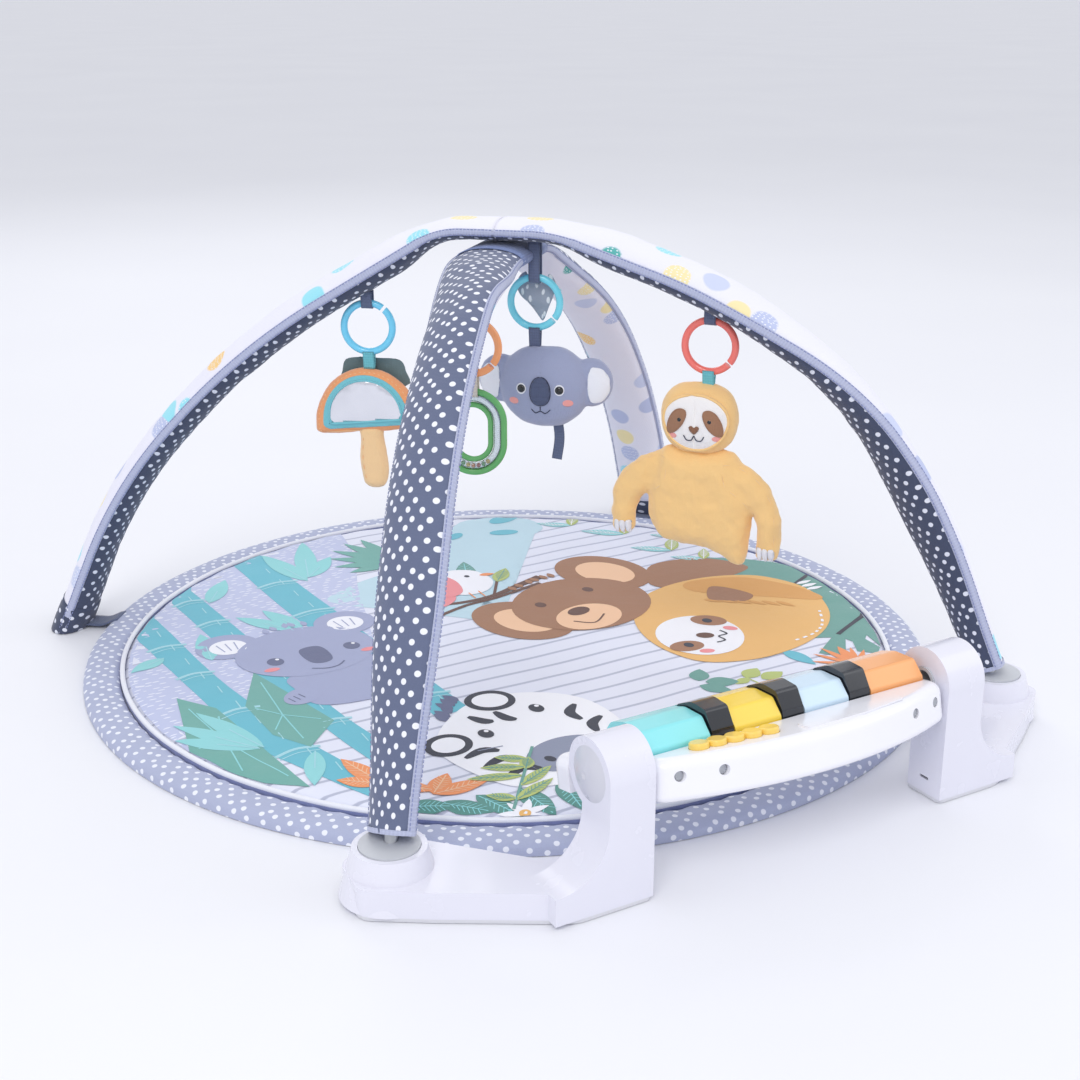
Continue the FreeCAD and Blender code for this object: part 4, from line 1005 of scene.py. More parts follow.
def sleeve_mesh(name, place, side, height, mean, outer, inner, seed):
    line = leg_line(place, side, height, mean, 4.0)
    if place == "front":
        line = [p for p in line if p[1].z > hem_z[place]]
    total = line[-1][0]
    around = 64
    verts, faces, uvs, which = [], [], [], []
    for distance, point, heading in line:
        width, depth = sleeve_size(place, distance, total)
        across, outward = sleeve_frame(heading, turn_at(name, distance))
        for k in range(around):
            a = 2 * math.pi * (k + 0.5) / around
            c, s = math.cos(a), math.sin(a)
            edge = abs(c) ** 6
            swell = 1 + 0.05 * wobble(distance, 40 * c, 40 * s, 70, seed)
            crease = 1.1 * abs(s) * wobble(distance, 22 * c, 50 * s, 17, seed + 3)
            pucker = 0.8 * edge * math.sin(distance / 2.1 + 2.5 * wobble(distance, 0, 9 * c, 24, seed + 5))
            r = 1.0 + (crease * 0.045 + pucker * 0.022)
            spot = point + across * (width * c * (0.5 + 0.5 * r) * 0.995) + outward * (depth * s * swell * r)
            verts.append(on_mat(spot.x, spot.y, spot.z))
    last = len(line) - 1
    for i in range(last):
        for k in range(around):
            n = (k + 1) % around
            faces.append((i * around + k, (i + 1) * around + k, (i + 1) * around + n, i * around + n))
            a0, a1 = 2 * math.pi * (k + 0.5) / around, 2 * math.pi * (k + 1.5) / around
            u0, u1 = line[i][0] * mm, line[i + 1][0] * mm
            v0, v1 = 34 * math.cos(a0) * mm, 34 * math.cos(a1) * mm
            uvs.append([(u0, v0), (u1, v0), (u1, v1), (u0, v1)])
            upper = math.sin((a0 + a1) / 2) >= 0
            on_seam = abs(math.cos((a0 + a1) / 2)) > 0.985
            which.append(2 if on_seam else 0 if upper else 1)
    faces.append(tuple(reversed(range(around))))
    uvs.append([(0, 0)] * around)
    which.append(1)
    faces.append(tuple(last * around + k for k in range(around)))
    uvs.append([(0, 0)] * around)
    which.append(2)
    obj = mesh_object("arch_sleeve_" + name, verts, faces, [outer, inner, lilac_binding], uvs=uvs,
                      indices=which)
    if place == "rear":
        cut_at_floor(obj)
    bindings = []
    for sign in (-1, 1):
        bindings.append(binding(name, place, line, total, sign, seed))
    for b in bindings:
        if place == "rear":
            cut_at_floor(b)
        b.parent = obj
    hem_ring(name, place, line, total, obj)
    put(obj, "gym", "sleeve_" + name, ["sleeve_" + name])
    return obj


def cut_at_floor(obj):
    bm = bmesh.new()
    bm.from_mesh(obj.data)
    everything = bm.verts[:] + bm.edges[:] + bm.faces[:]
    bmesh.ops.bisect_plane(bm, geom=everything, plane_co=(0, 0, 0.0008), plane_no=(0, 0, 1),
                           clear_inner=True)
    bmesh.ops.holes_fill(bm, edges=[e for e in bm.edges if e.is_boundary], sides=0)
    bm.to_mesh(obj.data)
    bm.free()
    for poly in obj.data.polygons:
        poly.use_smooth = True


def binding(name, place, line, total, sign, seed):
    """Folded tape over one side seam, gathered a little by its two rows of stitches."""
    profile = [(-0.25, 0.0), (-0.22, 1.0), (-0.13, 1.35), (0.0, 1.5), (0.13, 1.35), (0.22, 1.0), (0.25, 0.0)]
    verts, faces, uvs = [], [], []
    for distance, point, heading in line:
        width, depth = sleeve_size(place, distance, total)
        across, outward = sleeve_frame(heading, turn_at(name, distance))
        ripple = 0.45 * math.sin(distance / 1.9 + 3 * wobble(distance, sign, 0, 30, seed))
        ripple *= 0.6 + 0.4 * wobble(distance, 3, 1, 12, seed)
        for lean, lift in profile:
            a = lean * 17 / depth if depth > 12 else lean * 1.25
            grow = lift + (ripple if lift > 0.5 else 0)
            spot = point + across * (sign * (width * math.cos(a) + grow * math.cos(a)))
            spot += outward * (depth * math.sin(a) * 1.04 + grow * math.sin(a))
            verts.append(on_mat(spot.x, spot.y, spot.z))
    n = len(profile)
    for i in range(len(line) - 1):
        for k in range(n - 1):
            quad = (i * n + k, (i + 1) * n + k, (i + 1) * n + k + 1, i * n + k + 1)
            faces.append(quad if sign > 0 else tuple(reversed(quad)))
            u0, u1 = line[i][0] * mm, line[i + 1][0] * mm
            v0, v1 = 0.0015 * k, 0.0015 * (k + 1)
            corners = [(u0, v0), (u1, v0), (u1, v1), (u0, v1)]
            uvs.append(corners if sign > 0 else list(reversed(corners)))
    obj = mesh_object("seam_binding_%s_%s" % (name, "a" if sign > 0 else "b"), verts, faces, lilac_binding,
                      uvs=uvs)
    stitches(obj.name + "_stitches", place, line, total, sign, obj)
    return obj


def stitches(name, place, line, total, sign, parent):
    """Rows of short raised stitches just inside both edges of a binding."""
    verts, faces = [], []
    for row in (-0.19, 0.19):
        distance = line[0][0] + 2
        index = 0
        while distance + 2.6 < total - 2:
            ends = []
            for d in (distance, distance + 2.4):
                while index < len(line) - 2 and line[index + 1][0] < d:
                    index += 1
                t = (d - line[index][0]) / max(1e-6, line[index + 1][0] - line[index][0])
                point = line[index][1].lerp(line[index + 1][1], t)
                width, depth = sleeve_size(place, d, total)
                across, outward = sleeve_frame(line[index][2], turn_at(name, d))
                a = row * 17 / depth if depth > 12 else row * 1.25
                spot = point + across * (sign * (width + 1.5)
                                         * math.cos(a)) + outward * ((depth * 1.04 + 1.5) * math.sin(a))
                ends.append((spot, line[index][2], unit(across * sign * math.cos(a)
                                                        + outward * math.sin(a))))
            if min(e[0].z for e in ends) > 6:
                base = len(verts)
                for spot, along, up in ends:
                    side = unit(along.cross(up)) * 0.45
                    for corner in (-side, up * 0.5, side):
                        p = spot + corner
                        verts.append(on_mat(p.x, p.y, p.z))
                faces += [(base, base + 3, base + 4, base + 1), (base + 1, base + 4, base + 5, base + 2),
                          (base, base + 1, base + 2), (base + 3, base + 5, base + 4)]
            distance += 3.6
    obj = mesh_object(name, verts, faces, lilac_thread)
    obj.parent = parent


def hem_ring(name, place, line, total, parent):
    """Tape sewn round the lower end of a sleeve."""
    tape_top = hem_z[place] + hem_tall[place]
    if place == "front":
        rows = [p for p in line if p[1].z < tape_top]
    else:
        rows = [p for p in line if -14 < p[1].z <= tape_top + 8]
    verts, faces, uvs = [], [], []
    around = 48
    for i, (distance, point, heading) in enumerate(rows):
        width, depth = sleeve_size(place, distance, total)
        across, outward = sleeve_frame(heading, turn_at(name, distance))
        share = i / max(1, len(rows) - 1)
        lift = 1.7 - 1.0 * abs(2 * share - 1) ** 3
        for k in range(around):
            a = 2 * math.pi * k / around
            gather = 0.25 * math.sin(k * 3.1 + i * 0.4)
            spot = point + across * ((width + lift + gather)
                                     * math.cos(a)) + outward * ((depth + lift + gather) * math.sin(a))
            verts.append(on_mat(spot.x, spot.y, spot.z))
    for i in range(len(rows) - 1):
        for k in range(around):
            n = (k + 1) % around
            faces.append((i * around + k, (i + 1) * around + k, (i + 1) * around + n, i * around + n))
            u0, u1 = rows[i][0] * mm, rows[i + 1][0] * mm
            uvs.append([(0.0022 * k, u0), (0.0022 * k, u1), (0.0022 * (k + 1), u1), (0.0022 * (k + 1), u0)])
    cloth = under_dots if place == "rear" else lilac_binding
    obj = mesh_object("hem_tape_" + name, verts, faces, cloth, uvs=uvs)
    if place == "rear":
        cut_at_floor(obj)
    obj.parent = parent


leg_settings = {
    "front_right": ("front", 1, 433, upper_heading, white_dots, under_dots, 1.0),
    "rear_left": ("rear", -1, 433, -upper_heading, white_dots, under_dots, 2.0),
    "front_left": ("front", -1, 409, lower_heading, dark_dots, white_dots, 3.0),
    "rear_right": ("rear", 1, 409, -lower_heading, dark_dots, white_dots, 4.0),
}
leg_lines = {}
for leg, (place, side, height, mean, outer, inner, seed) in leg_settings.items():
    sleeve_mesh(leg, place, side, height, mean, outer, inner, seed)
    leg_lines[leg] = leg_line(place, side, height, mean, 4.0)


# ---------------------------------------------------------------- tapes and straps
def tape(name, path, widthwise, width, thickness, material, body, slot_name, stands_for=(), closed=False,
         wave=0.0):
    """Woven tape along a path of points in metres. widthwise gives the direction across it at each point."""
    count = len(path)
    verts, faces, uvs = [], [], []
    columns = 7
    run = [0.0]
    for a, b in zip(path, path[1:]):
        run.append(run[-1] + (b - a).length)
    for i, point in enumerate(path):
        before = path[i - 1] if (i or closed) else path[0]
        after = path[(i + 1) % count] if (i + 1 < count or closed) else path[-1]
        along = unit(after - before)
        across = widthwise[i] if isinstance(widthwise, list) else widthwise
        across = unit(across - along * across.dot(along))
        normal = unit(along.cross(across))
        for k in range(columns):
            s = k / (columns - 1) - 0.5
            bow = wave * math.sin(run[i] * 260) * (1 - 4 * s * s) + 0.00018 * wobble(run[i] * 1000, k * 2,
                                                                                     0, 5, 3.3)
            verts.append(point + across * (width * s) + normal * bow)
    rows = count if closed else count - 1
    for i in range(rows):
        n = (i + 1) % count
        length = run[i + 1] if i + 1 < count else run[i] + (path[0] - path[-1]).length
        for k in range(columns - 1):
            faces.append((i * columns + k, n * columns + k, n * columns + k + 1, i * columns + k + 1))
            v0, v1 = width * k / (columns - 1), width * (k + 1) / (columns - 1)
            uvs.append([(run[i], v0), (length, v0), (length, v1), (run[i], v1)])
    obj = mesh_object(name, verts, faces, material, uvs=uvs)
    solid = obj.modifiers.new("cloth_thickness", "SOLIDIFY")
    solid.thickness = thickness
    solid.offset = 0.0
    apply_all(obj)
    put(obj, body, slot_name, stands_for)
    return obj


def frame_of(out_heading):
    x = Vector((out_heading[0], out_heading[1], 0)).normalized()
    return x, Vector((-x.y, x.x, 0))


for leg, side in (("rear_left", -1), ("rear_right", 1)):
    out = heading_of(side, leg_feet["rear"])
    across = Vector((-out.y, out.x, 0))
    starts = [crossing + out * (418 + 5 * k) for k in range(9)]
    path = []
    for k, p in enumerate(starts):
        lift = 10.6 - 7.0 * eased(k / 4)
        path.append(on_mat(p.x, p.y, lift + 0.6))
    tape("mat_tab_" + leg, path, across, 0.026, 0.0014, slate_webbing, "gym", "mat_straps",
         ["mat_straps"])

band_path = []
middle = crossing + Vector((0, 0, 409))
across, outward = sleeve_frame(lower_heading)
for k in range(72):
    a = 2 * math.pi * k / 72
    spot = middle + across * (33.1 * math.cos(a)) + outward * (11.6 * math.sin(a))
    band_path.append(on_mat(spot.x, spot.y, spot.z))
tape("crossing_sleeve_band", band_path, lower_heading.copy(), 0.086, 0.001, band_cloth, "gym",
     "crossing_band", ["crossing_band"], closed=True, wave=0.0)


# ---------------------------------------------------------------- hanging toys
class Place:
    """A toy's own frame in mm: x along its face, y to its back, z up, from the middle of its ring."""

    def __init__(self, middle, out_heading):
        self.middle = Vector(middle) * mm
        self.x, self.y = frame_of(out_heading)

    def at(self, x, y, z):
        return self.middle + (self.x * x + self.y * y + Vector((0, 0, z))) * mm

    def local(self, point):
        d = (point - self.middle) / mm
        return d.dot(self.x), d.dot(self.y), d.z


places = {
    "mushroom": Place((-107.1, 130.6, 333.5), (0.7934, -0.6088)),
    "koala": Place((21.3, 21.9, 364.0), (0.7193, -0.6947)),
    "rattle": Place((-84.1, -44.3, 344.0), (0.7716, -0.6361)),
    "sloth": Place((132.8, -112.9, 335.0), (0.6361, -0.7716)),
}


def oval_points(cx, cz, w, h, count=40, turn=0.0):
    c, s = math.cos(math.radians(turn)), math.sin(math.radians(turn))
    out = []
    for k in range(count):
        a = 2 * math.pi * k / count
        x, z = w / 2 * math.cos(a), h / 2 * math.sin(a)
        out.append((cx + x * c - z * s, cz + x * s + z * c))
    return out


def edge_distance(p, outline):
    best = 1e9
    for a, b in zip(outline, outline[1:] + outline[:1]):
        dx, dy = b[0] - a[0], b[1] - a[1]
        t = ((p[0] - a[0]) * dx + (p[1] - a[1]) * dy) / max(1e-9, dx * dx + dy * dy)
        t = min(1.0, max(0.0, t))
        best = min(best, math.dist(p, (a[0] + dx * t, a[1] + dy * t)))
    return best


def stuffed(name, place, outlines, voxel, materials, fold=0.9, seed=1.0, smooth=7):
    """Stuffed shape: outlines (points, half depth, swell, y), each filled front and back, in one skin."""
    verts, faces = [], []
    for points, depth, swell, y0 in outlines:
        bm = bmesh.new()
        flat_pieces(bm, points, 4.0)
        bmesh.ops.triangulate(bm, faces=bm.faces[:])
        bm.verts.ensure_lookup_table()
        bm.verts.index_update()
        thick = []
        for v in bm.verts:
            d = min(1.0, edge_distance((v.co.x, v.co.y), points) / swell)
            thick.append(depth * math.sqrt(max(0.0, 1 - (1 - d) ** 2)) + 0.3)
        base = len(verts)
        count = len(bm.verts)
        for sign in (-1, 1):
            for v, t in zip(bm.verts, thick):
                verts.append(place.at(v.co.x, y0 + sign * t, v.co.y))
        for f in bm.faces:
            ids = [v.index for v in f.verts]
            flat = f.normal.z > 0
            faces.append(tuple(base + i for i in (ids if flat else reversed(ids))))
            faces.append(tuple(base + count + i for i in (reversed(ids) if flat else ids)))
        for e in bm.edges:
            if e.is_boundary:
                a, b = e.verts[0].index, e.verts[1].index
                faces.append((base + a, base + b, base + count + b, base + count + a))
        bm.free()
    obj = mesh_object(name, verts, faces, materials)
    remesh = obj.modifiers.new("skin", "REMESH")
    remesh.mode = "VOXEL"
    remesh.voxel_size = voxel
    relax = obj.modifiers.new("relax", "SMOOTH")
    relax.factor = 0.6
    relax.iterations = smooth
    apply_all(obj)
    normals = [v.normal.copy() for v in obj.data.vertices]
    for v, n in zip(obj.data.vertices, normals):
        x, y, z = place.local(v.co)
        v.co += n * (fold * mm * (0.7 * wobble(x, y, z, 15, seed) + 0.3 * wobble(x, y, z, 6, seed + 2)))
    obj.data.update()
    return obj


def tree_of(obj):
    mesh = obj.data
    return BVHTree.FromPolygons([v.co.copy() for v in mesh.vertices],
                                [tuple(p.vertices) for p in mesh.polygons])


def skin_at(tree, place, x, z, side):
    """Point and normal of a stuffed shape's front (side -1) or back (side 1), at x, z of its place."""
    spot, normal, _, _ = tree.ray_cast(place.at(x, side * 90, z), place.y * -side, 0.2)
    if spot is None:
        spot, normal, _, _ = tree.find_nearest(place.at(x, side * 8, z))
    return spot, normal.normalized()


def patch(name, place, tree, points, material, lift=0.35, thick=0.5, step=2.0, side=-1, dome=0.0):
    """Felt or print patch laid on a stuffed shape's front (side -1) or back (side 1)."""
    bm = bmesh.new()
    flat_pieces(bm, points, step)
    for v in bm.verts:
        x, z = v.co.x, v.co.y
        spot, normal = skin_at(tree, place, x, z, side)
        rise = lift
        if dome:
            rise += dome * math.sqrt(max(0.0,
                                         1 - (1 - min(1.0, edge_distance((x, z),
                                                                         points) / (dome * 1.4))) ** 2))
        v.co = spot + normal * (rise * mm)
    bm.normal_update()
    for f in bm.faces:
        if f.normal.dot(place.y * side) < 0:
            f.normal_flip()
        f.smooth = True
    obj = bmesh_object(name, bm, material)
    if thick:
        solid = obj.modifiers.new("felt", "SOLIDIFY")
        solid.thickness = thick * mm
        solid.offset = -1.0
        apply_all(obj)
    return obj


def thread(name, place, tree, points, radius, material, lift=0.2, side=-1, gap=0.0):
    """Embroidered line following a stuffed shape, as one cord or as separate stitches."""
    line = []
    for x, z in points:
        spot, normal = skin_at(tree, place, x, z, side)
        line.append((spot + normal * (lift * mm), normal))
    verts, faces = [], []
    around = 6
    runs = [line]
    if gap:
        runs = [line[i:i + 3] for i in range(0, len(line) - 2, 4)]
    for run in runs:
        base = len(verts)
        for i, (p, n) in enumerate(run):
            a = run[max(0, i - 1)][0]
            b = run[min(len(run) - 1, i + 1)][0]
            along = unit(b - a)
            side_dir = unit(along.cross(n))
            shrink = 0.35 if i in (0, len(run) - 1) else 1.0
            for k in range(around):
                t = 2 * math.pi * k / around
                verts.append(p + (side_dir * math.cos(t) + n * math.sin(t)) * (radius * shrink * mm))
        faces += ring_faces(len(run), around, base)
        faces.append(tuple(base + k for k in reversed(range(around))))
        faces.append(tuple(base + (len(run) - 1) * around + k for k in range(around)))
    return mesh_object(name, verts, faces, material)


def bead_eye(name, place, tree, x, z, size, material, flat=0.45):
    """Domed eye pressed into the cloth."""
    spot, normal = skin_at(tree, place, x, z, -1)
    side = unit(normal.cross(Vector((0, 0, 1))))
    up = side.cross(normal)
    verts, faces = [], []
    rows, around = 7, 22
    for i in range(rows):
        t = math.pi / 2 * i / (rows - 1)
        for k in range(around):
            a = 2 * math.pi * k / around
            r = size * math.cos(t) ** 0.9 + (0.25 if i == 0 else 0)
            h = size * flat * math.sin(t)
            verts.append(spot + (side * math.cos(a) + up * math.sin(a)) * (r * mm)
                         + normal * ((h - 0.3) * mm))
    for i in range(rows - 1):
        for k in range(around):
            m = (k + 1) % around
            faces.append((i * around + k, i * around + m, (i + 1) * around + m, (i + 1) * around + k))
    faces.append(tuple((rows - 1) * around + k for k in range(around)))
    return mesh_object(name, verts, faces, material)


def with_parent(parent, *objs):
    for o in objs:
        o.parent = parent


koala_fur = fabric("koala_fleece", "A3AAC8", 0.0013, 0.5, 0.05, 0.5)
koala_white = fabric("koala_white_fleece", "F2F3FA", 0.0013, 0.5, 0.03, 0.5)
nose_felt = fabric("nose_felt", "59627F", 0.0008, 0.3, 0.06, 0.2)
dark_thread = fabric("dark_thread", "3A4058", 0.0005, 0.1)
eye_black = plastic("eye_black_gloss", "0E0F14", 0.08, 0.8, grain=0.0)
orange_cloth = fabric("orange_velour", "F7A873", 0.001, 0.5, 0.05, 0.45)
mushroom_trim = fabric("mushroom_teal_trim", "7BC8D4", 0.001, 0.4, 0.05, 0.4)
peach_cloth = fabric("peach_velour", "FBD3A0", 0.001, 0.5, 0.05, 0.45)
yellow_cloth = fabric("yellow_velour", "FFD290", 0.001, 0.55, 0.05, 0.45)
face_white = fabric("face_white_velour", "F6F3F3", 0.001, 0.35, 0.03, 0.4)
patch_brown = fabric("eye_patch_brown", "A3795F", 0.0009, 0.3, 0.06, 0.3)
ear_brown = fabric("ear_brown", "8F6650", 0.0009, 0.4, 0.06, 0.35)
cheek_pink = fabric("cheek_pink", "F6A9A4", 0.0009, 0.2, 0.05, 0.3)
claw_white = fabric("claw_white", "F1F0F4", 0.0009, 0.2, 0.03, 0.3)
crinkle_slate = fabric("crinkle_slate", "6E8388", 0.0012, 1.0, 0.08, 0.1)


def leaf_print():
    """Crinkly grey cloth printed with pale leaf sprigs."""
    p = Paint("crinkle_leaf_print", Specular_IOR_Level=0.5)
    where = p.coords("Object")
    turned = p.add("Mapping", Vector=where, Rotation=(0.3, 0.6, 0.8), Scale=(1, 2.6, 1)).outputs["Vector"]
    mask = p.add("TexVoronoi", Vector=turned, Scale=95.0, Randomness=0.8).outputs["Distance"]
    spots = p.add("MapRange", Value=mask, i1=0.36, i2=0.28, i3=0.0, i4=0.9).outputs["Result"]
    p.to(p.mix(spots, varied(p, where, rgb("A0A8B8"), 0.08), rgb("EEF0F4")), "Base_Color")
    normal = p.bump(p.noise(where, 70.0, 4.0, 0.7), 0.7, 0.003)
    p.to(p.bump(p.noise(where, 260.0, 2.0), 0.3, 0.0008, normal), "Normal")
    p.to(p.add("MapRange", Value=p.noise(where, 80.0), i3=0.4, i4=0.7).outputs["Result"], "Roughness")
    return p.mat


def mirror_film():
    p = Paint("mirror_film", Metallic=0.9)
    where = p.coords("Object")
    p.to(p.mix(p.noise(where, 30.0, 2.0), rgb("D2D4DC"), rgb("E6E7EE")), "Base_Color")
    p.to(p.add("MapRange", Value=p.noise(where, 60.0, 3.0), i3=0.08, i4=0.2).outputs["Result"], "Roughness")
    p.to(p.bump(p.noise(where, 24.0, 2.0), 0.25, 0.003), "Normal")
    return p.mat


# the mushroom
at = places["mushroom"]


def cap_outline(width, height, base, shift, turn):
    points = []
    for k in range(33):
        a = math.pi * k / 32
        points.append((width / 2 * math.cos(a), base + 5 + (height - 5) * math.sin(a)))
    points += [(-width / 2 * 0.96, base + 2.2), (-width / 2 * 0.86, base), (width / 2 * 0.86, base),
               (width / 2 * 0.96, base + 2.2)]
    c, s = math.cos(math.radians(turn)), math.sin(math.radians(turn))
    middle = base + height / 2
    return [(shift + x * c - (z - middle) * s, middle + x * s + (z - middle) * c) for x, z in points]


cap = stuffed("mushroom_padded_cap", at, [(cap_outline(110, 66, -107, -5, 5), 10.4, 16, 0)], 0.0016,
              [orange_cloth, mushroom_trim], 0.8, 2.0)
cap_tree = tree_of(cap)
put(cap, "mushroom", "mushroom_cap", ["mushroom_cap"])
window = cap_outline(74, 42, -94, -5, 5)
frame_felt = patch("mushroom_mirror_frame", at, cap_tree, cap_outline(88, 53, -100, -5, 5), mushroom_trim,
                   0.5, 0.7)
frame_felt.parent = cap
film = patch("mushroom_mirror_film", at, cap_tree, window, mirror_film(), 0.7, 0.3, 3.0)
put(film, "mushroom", "mushroom_mirror", ["mushroom_mirror"])
ring_line = smooth_line(window, 3)
rim = thread("mushroom_mirror_rim", at, cap_tree, ring_line + ring_line[:1], 1.2, mushroom_trim, 0.9)
rim_stitch = thread("mushroom_rim_stitches", at, cap_tree, smooth_line(cap_outline(99, 59, -103.5, -5, 5),
                                                                       4), 0.4, peach_cloth, 0.15, gap=1.0)
with_parent(cap, rim, rim_stitch)
stem = stuffed("mushroom_padded_stem", at,
               [(smooth_line([(-11, -99), (-12, -115), (-13, -135), (-11, -156), (-6, -164), (3, -166),
                              (12, -163), (16.5, -152), (15.5, -132), (12.5, -112), (11, -99)], 4), 7.6, 9,
                 0)], 0.0016, peach_cloth, 0.7, 5.0)
put(stem, "mushroom", "mushroom_stem", ["mushroom_stem"])
stem_tree = tree_of(stem)
stem_marks = thread("mushroom_stem_stitches", at, stem_tree,
                    smooth_line([(-7.5, -112), (-8.5, -135), (-5.5, -158)], 10, closed=False), 0.35,
                    orange_cloth, 0.15, gap=1.0)
with_parent(stem, stem_marks)


def hanging_cloth(name, place, points, y0, material, body, node, thickness=0.0007, wave=1.6, seed=1.0):
    """Flat cloth piece sewn at one edge and left to hang, with soft waves."""
    bm = bmesh.new()
    flat_pieces(bm, points, 3.0)
    bmesh.ops.triangulate(bm, faces=bm.faces[:])
    for v in bm.verts:
        x, z = v.co.x, v.co.y
        push = wave * wobble(x, 0, z, 16, seed) + 0.35 * wave * wobble(x, 0, z, 6, seed + 4)
        v.co = place.at(x, y0 + push, z)
    bm.normal_update()
    for f in bm.faces:
        f.smooth = True
    obj = bmesh_object(name, bm, material)
    solid = obj.modifiers.new("cloth_thickness", "SOLIDIFY")
    solid.thickness = thickness
    solid.offset = 0
    apply_all(obj)
    put(obj, body, node, [node])
    return obj


flap_points = [(-30, -62), (-31, -48), (-27, -36), (-12, -33), (8, -33.4), (28, -35), (34, -46), (33.4, -62)]
flap_line = smooth_line(flap_points, 4)
hanging_cloth("mushroom_crinkle_flap", at, flap_line, 12.0, crinkle_slate, "mushroom", "mushroom_flap")


def strap_loop(name, place, centre_z, up, width, material, body, node, ends_z, radius=3.5):
    """Tape folded round the lower wire of a ring, both ends sewn into the toy."""
    path = []
    wrap = radius + 1.4
    sign = 1 if up else -1
    for k in range(6):
        t = k / 6
        path.append(place.at(0, wrap * (0.4 + 0.6 * t), ends_z + (centre_z - ends_z) * t))
    for k in range(13):
        a = math.pi * k / 12
        path.append(place.at(0, wrap * math.cos(a), centre_z + sign * wrap * math.sin(a)))
    for k in range(1, 7):
        t = k / 6
        path.append(place.at(0, -wrap * (1 - 0.6 * t), centre_z + (ends_z - centre_z) * t))
    return tape(name, path, place.x.copy(), width, 0.0011, material, body, node, [node])


low_wire = -24.4
strap_loop("mushroom_ring_strap", at, low_wire, False, 0.011, teal_webbing, "mushroom", "mushroom_strap",
           -41.5)

# the koala
at = places["koala"]
head_line = smooth_line([(10, -42), (32, -45), (50, -60), (56, -82), (49, -104), (32, -119), (10, -123.5),
                         (-12, -119), (-29, -104), (-36, -82), (-30, -60), (-12, -45)], 5)
parts = [(head_line, 22, 34, 0)]
for side in (-1, 1):
    parts.append((oval_points(10 + side * 46, -77, 44, 49, 34), 10.2, 15, 3))
koala = stuffed("koala_stuffed_head", at, parts, 0.0018, [koala_fur, koala_white], 0.8, 3.0, 8)
koala_tree = tree_of(koala)
put(koala, "koala", "koala_head", ["koala_head"])
extras = []
for side in (-1, 1):
    cx = 10 + side * 50
    inner = smooth_line([(cx - side * 1, -60), (cx + side * 9, -63), (cx + side * 15, -73),
                         (cx + side * 14, -86), (cx + side * 6, -95), (cx - side * 3, -94),
                         (cx - side * 6, -80), (cx - side * 5, -66)], 4)
    if side < 0:
        inner = inner[::-1]
    extras.append(patch("koala_ear_lining_%d" % side, at, koala_tree, inner, koala_white, 0.5, 0.6))
    extras.append(thread("koala_ear_seam_%d" % side, at, koala_tree, inner + inner[:1], 0.45, koala_fur,
                         0.55, gap=1.0))
nose = smooth_line([(10, -69), (15.5, -71), (19.4, -78), (19.8, -88), (16.2, -95), (10, -97), (3.8, -95),
                    (0.2, -88), (0.6, -78), (4.5, -71)], 4)
extras.append(patch("koala_nose", at, koala_tree, nose, nose_felt, 0.5, 0.7, dome=2.4))
extras.append(thread("koala_nose_outline", at, koala_tree, nose + nose[:1], 0.6, dark_thread, 0.5))
mouth = smooth_line([(10, -98), (10, -102)], 6, closed=False)
extras.append(thread("koala_mouth_line", at, koala_tree, mouth, 0.5, dark_thread, 0.3))
smile = smooth_line([(1, -101), (5, -105), (10, -103), (15, -105), (20, -101)], 8, closed=False)
extras.append(thread("koala_smile", at, koala_tree, smile, 0.5, dark_thread, 0.3))
for x in (-9, 29):
    extras.append(patch("koala_eye_ring_%d" % x, at, koala_tree, oval_points(x, -81, 10, 11, 24),
                        koala_white, 0.3, 0.5))
    extras.append(bead_eye("koala_eye_%d" % x, at, koala_tree, x, -81, 4.2, eye_black, 0.55))
for x in (-17, 37):
    cheek = oval_points(x, -94, 10, 7, 20)
    extras.append(patch("koala_cheek_%d" % x, at, koala_tree, cheek, cheek_pink, 0.25, 0.4))
centre_seam = smooth_line([(10, -45), (10, -56), (10, -68)], 8, closed=False)
extras.append(thread("koala_brow_seam", at, koala_tree, centre_seam, 0.4, koala_fur, 0.1, gap=1.0))
with_parent(koala, *extras)
strap_loop("koala_ring_strap", at, low_wire, False, 0.011, slate_webbing, "koala", "koala_strap", -44.0)
tail_path = []
for k in range(14):
    t = k / 13
    tail_path.append(at.at(23 + 1.4 * math.sin(4 * t), 1.2 * math.sin(3 * t), -119 - 37.5 * t))
tape("koala_dangling_tape", tail_path, at.x.copy(), 0.0101, 0.0011, slate_webbing, "koala", "koala_strap")
leaf_line = smooth_line([(-20, 12), (-18.5, 22), (-12, 27.5), (-8, 22), (0, 17), (8, 22), (13, 26.6),
                         (18, 18), (17, 8), (11, -7), (6, -19), (0.5, -14), (-8, -3), (-16, 4)], 4)
hanging_cloth("koala_crinkle_leaf", at, leaf_line, 8.6, leaf_print(), "ring_koala", "crinkle_leaf",
              wave=1.9, seed=4.0)

